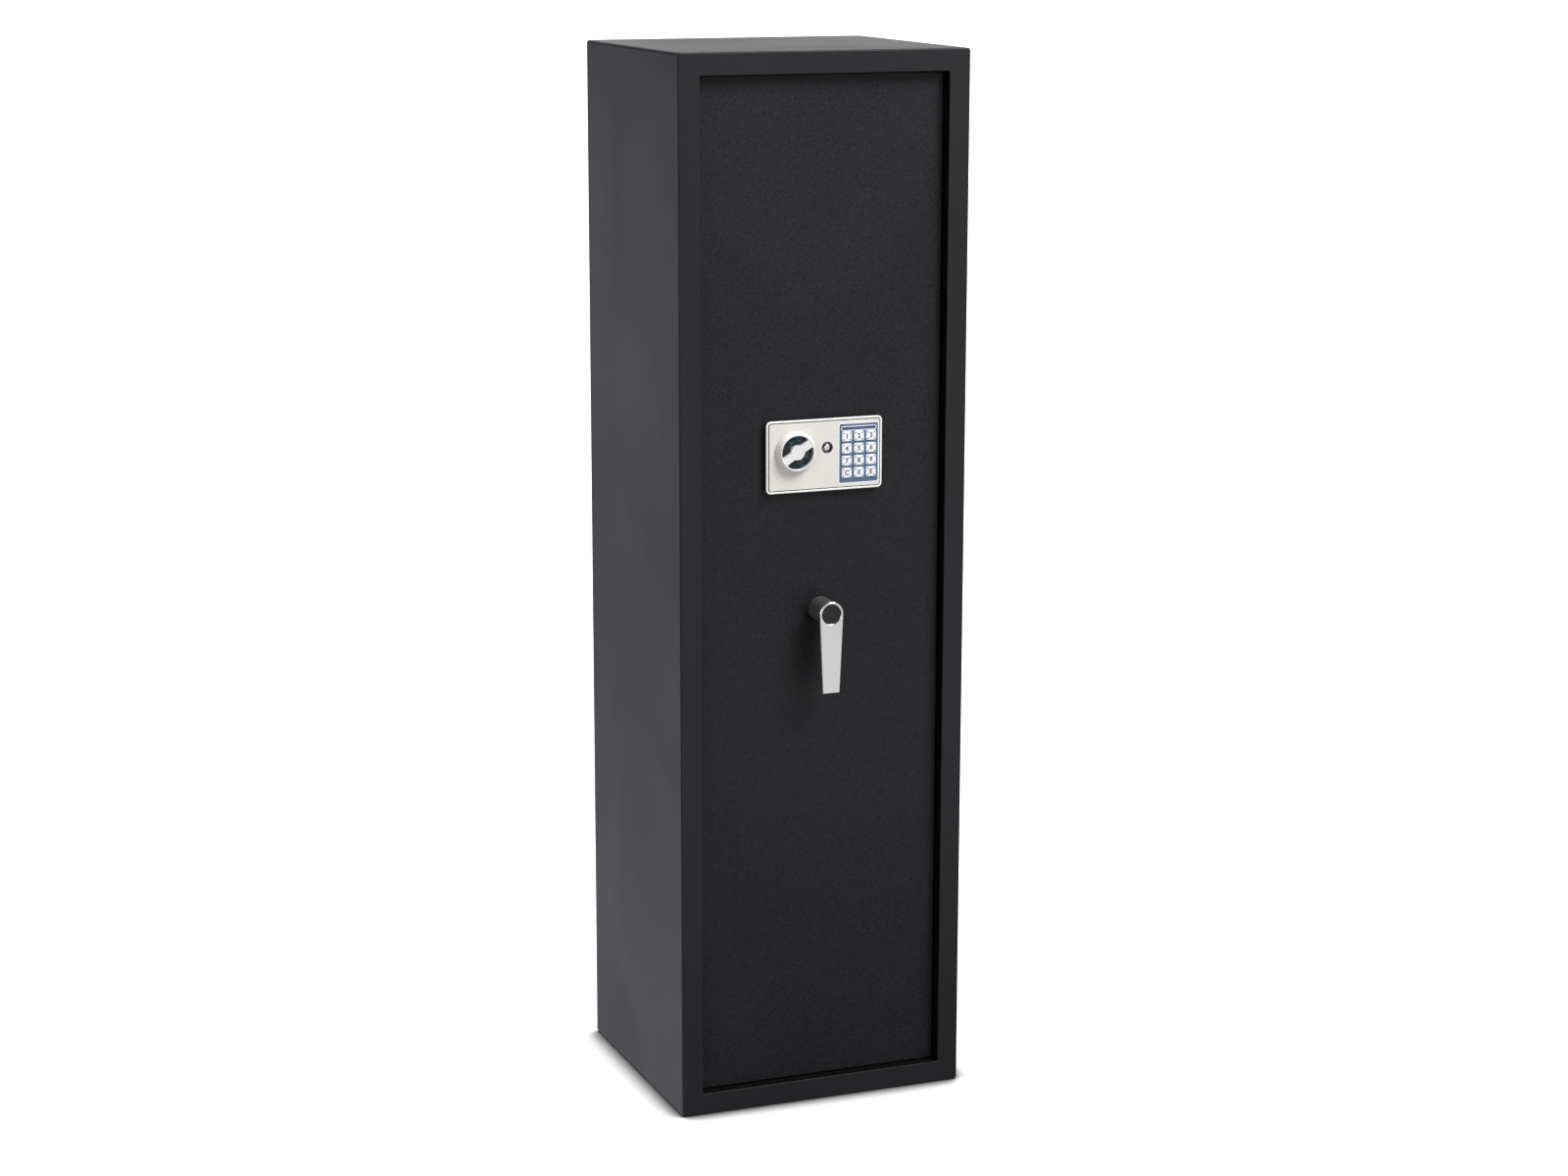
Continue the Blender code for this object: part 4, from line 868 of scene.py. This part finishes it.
def knob_windows(radius, half_bar, boss, lean):
    """The two openings either side of the knob's grip bar, with softened corners."""
    rim = math.asin(half_bar / radius)
    hub = math.asin(half_bar / boss)
    rim_steps, bar_steps, hub_steps, smoothings = 40, 13, 20, 5
    outline = []
    for step in range(rim_steps + 1):
        angle = rim + (math.pi - 2 * rim) * step / rim_steps
        outline.append(Vector((radius * math.cos(angle), radius * math.sin(angle))))
    corner = Vector((-boss * math.cos(hub), half_bar))
    for step in range(1, bar_steps):
        outline.append(outline[rim_steps].lerp(corner, step / bar_steps))
    for step in range(hub_steps + 1):
        angle = math.pi - hub - (math.pi - 2 * hub) * step / hub_steps
        outline.append(Vector((boss * math.cos(angle), boss * math.sin(angle))))
    corner = outline[-1].copy()
    for step in range(1, bar_steps):
        outline.append(corner.lerp(outline[0], step / bar_steps))
    for _ in range(smoothings):
        outline = [
            (outline[i - 1] + outline[i] * 2 + outline[(i + 1) % len(outline)]) / 4
            for i in range(len(outline))
        ]
    windows = []
    for turn in (lean, lean + math.pi):
        rotation = Matrix.Rotation(turn, 2)
        windows.append([tuple(rotation @ point) for point in outline])
    return windows


def make_knob():
    """One turned knob, its windows cut through either side of the grip bar."""
    lean = math.radians(33)
    radius = (KNOB_HIGH.x - KNOB_LOW.x) / 2 - 0.0009
    window_radius, face_radius, hollow_radius, dish = 0.0222, 0.0226, 0.0254, 0.0004
    top, under = KNOB_LOW.y, INLAY_LOW.y - 0.0003
    path = [
        (0.0, under),
        (hollow_radius, under),
        (hollow_radius, KNOB_HIGH.y),
        (radius, KNOB_HIGH.y),
        (radius, KNOB_HIGH.y - 0.0022),
        (radius - 0.0014, top + 0.0032),
        (radius - 0.0038, top),
        (face_radius, top),
        (0.0220, top + dish),
        (0.0, top + dish),
    ]
    radii = [0, 0.0003, 0.0002, 0.0004, 0.0010, 0.0040, 0.0022, 0.0008, 0.0008, 0]
    profile = filleted(path, radii, steps=7)
    knob = lathe("knob_grip", KNOB, profile, KNOB_PAINT, RIM_WHITE_AND_HIGHLIGHT, steps=120)
    cutters = []
    for window in knob_windows(window_radius, half_bar=0.0052, boss=0.0095, lean=lean):
        outline = [(KNOB.x + x, KNOB.z + z) for x, z in window]
        cutters.append(flat("window", [outline], top - 0.01, KNOB_HIGH.y + 0.01))
    carve(knob, *cutters)
    # The outer ring takes the brighter white: a painted highlight on its rounded edge.
    for face in knob.data.polygons:
        if math.hypot(face.center.x - KNOB.x, face.center.z - KNOB.z) > face_radius:
            face.material_index = 1
    round_edges(knob, 0.0006, 3, 50.0)
    soften(knob.data)
    level_normals(knob)
    stands_for(knob, "knob", "panel_silver", "knob")


def make_foil_disc():
    """The speckled disc under the knob's windows, slightly dished at its middle."""
    face, radius, dish = INLAY_LOW.y, 0.0250, 0.0003
    profile = [(0.0, face + dish), (0.008, face + dish), (0.012, face), (radius - 0.0002, face)]
    profile += [(radius, face + 0.0003), (radius, INLAY_HIGH.y), (0.0, INLAY_HIGH.y)]
    disc = lathe("knob_foil_disc", KNOB, profile, INLAY, steps=64)
    stands_for(disc, "knob", "inlay_dark", "knob_inlay")


def make_collar():
    """The key cylinder's black collar."""
    inner, outer = 0.0060, 0.0072
    front, rear = CYLINDER_LOW.y, CYLINDER_HIGH.y
    path = [
        (inner, rear),
        (inner, front + 0.0006),
        (inner + 0.0003, front + 0.0003),
        (outer - 0.0006, front),
        (outer, front + 0.0008),
        (outer, rear),
    ]
    profile = filleted(path, [0.0, 0.0002, 0.0003, 0.0004, 0.0003, 0.0], steps=4, closed=True)
    collar = lathe("cylinder_collar", CYLINDER, profile, BLACK_PLASTIC, steps=64, closed=True)
    stands_for(collar, "door", "lever_metal", "lock_cylinder")


def make_plug():
    """The bright tubular plug: a post inside a ring groove, with notches in its edge. Its edge, the
    groove's outer wall and the notches are a darker chrome: painted shade round the keyway.
    """
    outer, dark_edge, groove_outer, post, socket = 0.0058, 0.0049, 0.0052, 0.0037, 0.0012
    front, rear = PLUG_LOW.y, PLUG_HIGH.y
    path = [
        (0.0, rear),
        (outer, rear),
        (outer, front + 0.0006),
        (outer - 0.0003, front + 0.0002),
        (groove_outer, front + 0.0002),
        (groove_outer, front + 0.0050),
        (post, front + 0.0050),
        (post, front + 0.0008),
        (post - 0.0006, front + 0.0004),
        (socket, front + 0.0004),
        (socket, front + 0.0022),
        (0.0, front + 0.0022),
    ]
    radii = [0.0, 0.0, 0.0003, 0.0002, 0.0002, 0.0, 0.0, 0.0002, 0.0002, 0.0001, 0.0, 0.0]
    plug = lathe("cylinder_plug", CYLINDER, filleted(path, radii), BRIGHT_CHROME, steps=48)
    plug.data.materials.append(PLUG_SHADE_CHROME)
    # Faces outside dark_edge take the darker chrome as painted shade.
    for face in plug.data.polygons:
        if math.hypot(face.center.x - CYLINDER.x, face.center.z - CYLINDER.z) > dark_edge:
            face.material_index = 1
    # The notch cutters leave the darker chrome in the notches: painted shade in them.
    count, notch_circle, notch_radius = 7, 0.0053, 0.0006
    notches = []
    for index in range(count):
        angle = math.radians(90 + index * 360 / count)
        spot = CYLINDER + notch_circle * Vector((math.cos(angle), 0, math.sin(angle)))
        span = (front - 0.002, front + 0.003)
        notches.append(drum("notch", spot, notch_radius, *span, PLUG_SHADE_CHROME, steps=12))
    carve(plug, *notches)
    soften(plug.data, 35.0)
    level_normals(plug)
    stands_for(plug, "key_plug", "lever_metal", "lock_plug")


# ------------------------------ lever
def make_lever():
    """A black stem, the tapered arm with a polished bevel, and the dark disc in its eye."""
    bore, radius = 0.0053, (STEM_HIGH.x - STEM_LOW.x) / 2
    low, high = STEM_LOW.y, STEM_HIGH.y
    path = [(bore, high), (bore, low), (radius, low), (radius, high)]
    profile = filleted(path, [0, 0.0003, 0.0008, 0.0004], closed=True)
    stem = lathe("lever_stem", HANDLE, profile, STEM_BLACK, steps=72, closed=True)
    stands_for(stem, "handle", "black_plastic", "handle_stem")
    eye, tip, length = 0.0168, 0.01175, HANDLE.z - LEVER_LOW.z
    lean = math.asin((eye - tip) / length)
    steps = 48
    outline = []
    for step in range(steps + 1):
        angle = -lean + (math.pi + 2 * lean) * step / steps
        outline.append((HANDLE.x + eye * math.cos(angle), HANDLE.z + eye * math.sin(angle)))
    bottom = HANDLE.z - length
    corners = [0.0] * (steps + 1) + [0.0012, 0.0012]
    outline += [(HANDLE.x - tip, bottom), (HANDLE.x + tip, bottom)]
    outline = filleted(outline, corners, closed=True)
    cap_radius = (CAP_HIGH.x - CAP_LOW.x) / 2
    loops = [outline, circle(HANDLE.x, HANDLE.z, cap_radius + 0.0003, 64)]
    arm = flat("lever_arm", loops, LEVER_LOW.y, LEVER_HIGH.y, SATIN_CHROME, BRIGHT_CHROME)
    round_edges(arm, 0.0018, 4, 50.0, material=1)
    arm.modifiers["round"].profile = 0.4
    level_normals(arm)
    stands_for(arm, "handle", "lever_metal", "handle_lever")
    face = CAP_LOW.y
    path = [
        (0.0, CAP_HIGH.y),
        (cap_radius, CAP_HIGH.y),
        (cap_radius, face + 0.0004),
        (cap_radius - 0.0008, face),
        (cap_radius - 0.0016, face + 0.0004),
        (0.0, face + 0.0003),
    ]
    profile = filleted(path, [0.0, 0.0002, 0.0003, 0.0003, 0.0003, 0.0])
    disc = lathe("lever_disc", HANDLE, profile, CAP_PLASTIC, steps=64)
    stands_for(disc, "handle", "black_plastic", "handle_cap")


# ------------------------------ inside of the door
def make_screw_mesh():
    """A pan-head screw with a cross recess, its head towards +Y from the origin."""
    profile = filleted(
        [(0.0, 0.0), (0.0034, 0.0), (0.0032, 0.0011), (0.0016, 0.0018), (0.0, 0.0019)],
        [0.0, 0.0002, 0.0008, 0.0008, 0.0],
    )
    screw = lathe("cover_screw", Vector((0, 0, 0)), profile, ZINC, steps=28)
    wide, thin, depth = 0.0017, 0.00035, 0.0007
    carve(
        screw,
        brick("cross_a", (-wide, depth, -thin), (wide, 0.003, thin)),
        brick("cross_b", (-thin, depth, -wide), (thin, 0.003, wide)),
    )
    soften(screw.data)
    mesh = screw.data
    bpy.data.objects.remove(screw)
    return mesh


def make_cover_screws():
    """Screws round the inner cover: six up each side, and one in the middle of each end."""
    mesh = make_screw_mesh()
    inset, rows = 0.006, 6
    pitch = (COVER_HIGH.z - COVER_LOW.z - 2 * inset) / (rows - 1)
    places = []
    for row in range(rows):
        z = COVER_LOW.z + inset + pitch * row
        places += [(COVER_LOW.x + inset, z), (COVER_HIGH.x - inset, z)]
    places += [(middle(COVER_LOW, COVER_HIGH).x, COVER_LOW.z + inset)]
    places += [(middle(COVER_LOW, COVER_HIGH).x, COVER_HIGH.z - inset)]
    for index, (x, z) in enumerate(places):
        screw = link(f"cover_screw_{index + 1}", mesh)
        turn = Matrix.Rotation(math.radians(23 * index), 4, "Y")
        screw.matrix_world = Matrix.Translation((x, COVER_HIGH.y, z)) @ turn
        stands_for(screw, "door", "bare_steel")


def make_battery_hatch():
    """The lid over the batteries, with finger ribs."""
    centre, half = centre_and_half(LID_LOW, LID_HIGH)
    back = LID_HIGH.y
    path = [(0.0, LID_LOW.y), (0.0, back), (0.004, back)]
    profile = filleted(path, [0.0, 0.0010, 0.0], steps=5)
    lid = framed(
        "battery_hatch", centre, half.x, half.z, 0.003, profile, BLACK_PLASTIC, caps=(True, True)
    )
    half_width, depth, width, pitch = 0.012, 0.0008, 0.0014, 0.0032
    grooves = []
    for index in range(5):
        z = centre.z + 0.012 + index * pitch
        groove_low = (centre.x - half_width, back - depth, z)
        groove_high = (centre.x + half_width, back + 0.001, z + width)
        grooves.append(brick("groove", groove_low, groove_high))
    carve(lid, *grooves)
    soften(lid.data)
    level_normals(lid)
    stands_for(lid, "battery_lid", "black_plastic", "battery_lid")


def make_battery_cells():
    """Four cells behind the lid, every other one the other way round."""
    count = 4
    centre = middle(CELLS_LOW, CELLS_HIGH)
    end = (CELLS_HIGH.x - CELLS_LOW.x) / 2
    half_pitch = (CELLS_HIGH.y - CELLS_LOW.y) / 2
    pitch = (CELLS_HIGH.z - CELLS_LOW.z - 2 * half_pitch) / (count - 1)
    radius = half_pitch - 0.00005
    path = [
        (0.0, -end),
        (radius - 0.001, -end),
        (radius, -end + 0.0008),
        (radius, end - 0.0030),
        (radius - 0.0012, end - 0.0018),
        (0.0029, end - 0.0018),
        (0.0027, end),
        (0.0, end),
    ]
    profile = filleted(path, [0, 0.0003, 0.0005, 0.0006, 0.0006, 0.0002, 0.0003, 0])
    for index in range(count):
        way = 1 if index % 2 else -1
        place = Vector((centre.x, centre.y, CELLS_LOW.z + half_pitch + index * pitch))
        turned = [(r, centre.x + way * along) for r, along in profile]
        name = f"battery_cell_{index + 1}"
        cell = lathe(name, place, turned, CELL_WRAP, CELL_BAND, ZINC, steps=32, axis="X")
        for face in cell.data.polygons:
            along = (face.center.x - centre.x) * way
            if along > end - 0.0020 or along < -end + 0.0004:
                face.material_index = 2
            elif along > end - 0.0032:
                face.material_index = 1
        replaced = ["battery_pack"] if index == 0 else []
        stands_for(cell, "door", "battery_wrap", *replaced)


# ------------------------------ CAD nodes that stay
def finish_node(name, material, width=0.0):
    """Paints a CAD node that stays and breaks its edges."""
    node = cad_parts[name]
    node.data.materials.clear()
    node.data.materials.append(material)
    weld = node.modifiers.new("weld", "WELD")
    weld.merge_threshold = 0.000005
    if width:
        round_edges(node, width)
    soften(node.data, 30.0)
    level_normals(node)


def finish_nodes():
    """Painted sheet, plated steel, and the plastic and brass pieces."""
    for name in ("back_panel", "door_stop_frame", "rack_bracket", "door_box", "door_cover"):
        finish_node(name, BODY_PAINT, 0.0004)
    for name in ("hinge_block_lower", "hinge_block_upper"):
        finish_node(name, BODY_PAINT, 0.0003)
    for name in ("bolt_bar", "drive_plate", "latch_slide", "override_cam", "bolt_cam", "solenoid"):
        finish_node(name, ZINC, 0.0003)
    round_steel = ["hinge_pin_lower", "hinge_pin_upper", "bar_guide_upper", "bar_guide_lower"]
    round_steel += ["latch_guide", "handle_spindle", "knob_shaft", "solenoid_plunger", "plunger_spring"]
    round_steel += ["locking_bolt_" + name for name in ("upper", "middle", "lower")]
    for name in round_steel:
        finish_node(name, ZINC)
    finish_node("hinge_washer", BLACK_PLASTIC)
    finish_node("spindle_bush", BRASS)
    finish_node("keypad_board", BOARD, 0.0002)
    finish_node("battery_box", BLACK_PLASTIC, 0.0004)
    finish_node("reset_button", RED_PLASTIC, 0.0003)


# ------------------------------ studio
ROOM_TINT = (0.955, 0.945, 1.0)
SIDE_TINT = (0.90, 0.855, 0.99)


def make_floor():
    """A white floor, with a painted contact shadow where the cabinet stands, that is never reflected in
    it.
    """
    bm = bmesh.new()
    bmesh.ops.create_grid(bm, x_segments=2, y_segments=2, size=60.0)
    mesh = bpy.data.meshes.new("studio_floor")
    bm.to_mesh(mesh)
    bm.free()
    nodes = Nodes("pale_floor")
    tone = nodes.remap(nodes.noise(0.7, 3.0), 0.3, 0.7)
    base = nodes.mix(tone, (0.90, 0.90, 0.90), (0.92, 0.92, 0.92))
    # Ambient occlusion darkens the floor's colour near the cabinet: a painted contact shadow.
    contact_shadow = nodes.add("ShaderNodeAmbientOcclusion", Distance=0.032)
    contact_shadow.samples = 8
    shade = nodes.remap(contact_shadow.outputs["AO"], 0.5, 0.98, 0.12, 1.0)
    base = nodes.mix(shade, (0.0, 0.0, 0.0), base)
    nodes.bump(nodes.noise(60.0, 3.0), 0.02, 0.001)
    floor = link("studio_floor", mesh, nodes.set(colour=base, rough=0.8, specular=0.0))
    floor.location = (0.0, 0.0, SHELL_LOW.z - 0.0002)
    floor.visible_glossy = False
    floor.visible_diffuse = False
    return floor


def add_light(name, place, aim, size, power, colour=(1.0, 1.0, 1.0)):
    light = bpy.data.lights.new(name, "AREA")
    light.shape = "RECTANGLE"
    light.size, light.size_y = size
    light.energy = power
    light.color = colour
    obj = link(name, light)
    obj.location = place
    obj.rotation_euler = (Vector(aim) - Vector(place)).to_track_quat("-Z", "Y").to_euler()
    obj.visible_camera = False
    return obj


def make_world():
    """A dim room that lights the safe, seen as plain white behind it."""
    world = bpy.data.worlds.new("studio")
    world.use_nodes = True
    nodes, links = world.node_tree.nodes, world.node_tree.links
    room = nodes["Background"]
    room.inputs["Color"].default_value = (*ROOM_TINT, 1.0)
    room.inputs["Strength"].default_value = 0.27
    backdrop = nodes.new("ShaderNodeBackground")
    backdrop.inputs["Color"].default_value = (1.0, 1.0, 1.0, 1.0)
    backdrop.inputs["Strength"].default_value = 1.05
    seen = nodes.new("ShaderNodeLightPath").outputs["Is Camera Ray"]
    mix = nodes.new("ShaderNodeMixShader")
    links.new(seen, mix.inputs[0])
    links.new(room.outputs[0], mix.inputs[1])
    links.new(backdrop.outputs[0], mix.inputs[2])
    links.new(mix.outputs[0], nodes["World Output"].inputs["Surface"])
    return world


def make_studio():
    """The floor under its own sun, and area lights that reach everything but the floor."""
    bpy.context.scene.world = make_world()
    bpy.context.scene.view_settings.view_transform = "Standard"
    floor = make_floor()
    sun = bpy.data.lights.new("floor_light", "SUN")
    sun.energy = 5.6
    sun.angle = math.radians(50)
    overhead = link("floor_light", sun)
    lit = bpy.data.collections.new("floor_only")
    lit.objects.link(floor)
    overhead.light_linking.receiver_collection = lit
    unlit = bpy.data.collections.new("all_but_floor")
    unlit.objects.link(floor)
    unlit.collection_objects[0].light_linking.link_state = "EXCLUDE"
    lights = (
        add_light("key_light", (2.0, -2.7, 4.5), (0.0, 0.0, 0.7), (2.5, 2.5), 340.0),
        add_light("front_light", (1.7, -4.4, 1.0), (0.0, 0.0, 0.7), (3.0, 1.8), 9.0),
        add_light("front_card", (1.1, -2.6, 0.0), (1.1, -2.6, 1.0), (2.6, 3.6), 20.0),
        add_light("left_light", (-3.2, -2.6, 1.4), (0.0, 0.0, 0.7), (1.6, 2.0), 30.0),
        add_light("back_light", (1.6, 4.2, 2.6), (0.0, 0.0, 1.2), (3.6, 1.6), 26.0),
        add_light("right_light", (3.4, 1.3, 1.1), (0.2, 0.0, 0.7), (1.6, 2.0), 14.0),
        add_light("side_light", (-1.6, 2.4, 0.7), (-0.2, 0.0, 0.6), (2.2, 1.2), 6.2, SIDE_TINT),
        add_light("side_card", (-1.1, 1.0, 0.0), (-1.1, 1.0, 1.0), (1.8, 3.0), 11.5, SIDE_TINT),
    )
    for light in lights:
        light.light_linking.receiver_collection = unlit


def add_camera():
    """At the photograph's viewing angle: from the left and a little above the safe."""
    yaw, pitch, roll = math.radians(21.64), math.radians(12.26), math.radians(0.12)
    camera = bpy.data.cameras.new("camera")
    camera.sensor_width = 36.0
    camera.lens = 74.5
    camera.clip_end = 200.0
    obj = link("camera", camera)
    turn = Matrix.Rotation(-yaw, 4, "Z") @ Matrix.Rotation(math.pi / 2 - pitch, 4, "X")
    turn = turn @ Matrix.Rotation(roll, 4, "Z")
    place = Matrix.Translation((-1.577, FRONT - 3.832, 1.606))
    obj.matrix_world = place @ turn
    bpy.context.scene.camera = obj


add_camera()
make_studio()
make_shell()
make_floor_pad()
make_barrel_foam()
make_door_skin()
make_lock_housing()
make_lock_face()
make_keypad()
for key in KEYS:
    make_key(key)
make_knob()
make_foil_disc()
make_collar()
make_plug()
make_lever()
make_cover_screws()
make_battery_hatch()
make_battery_cells()
finish_nodes()

bpy.context.view_layer.update()
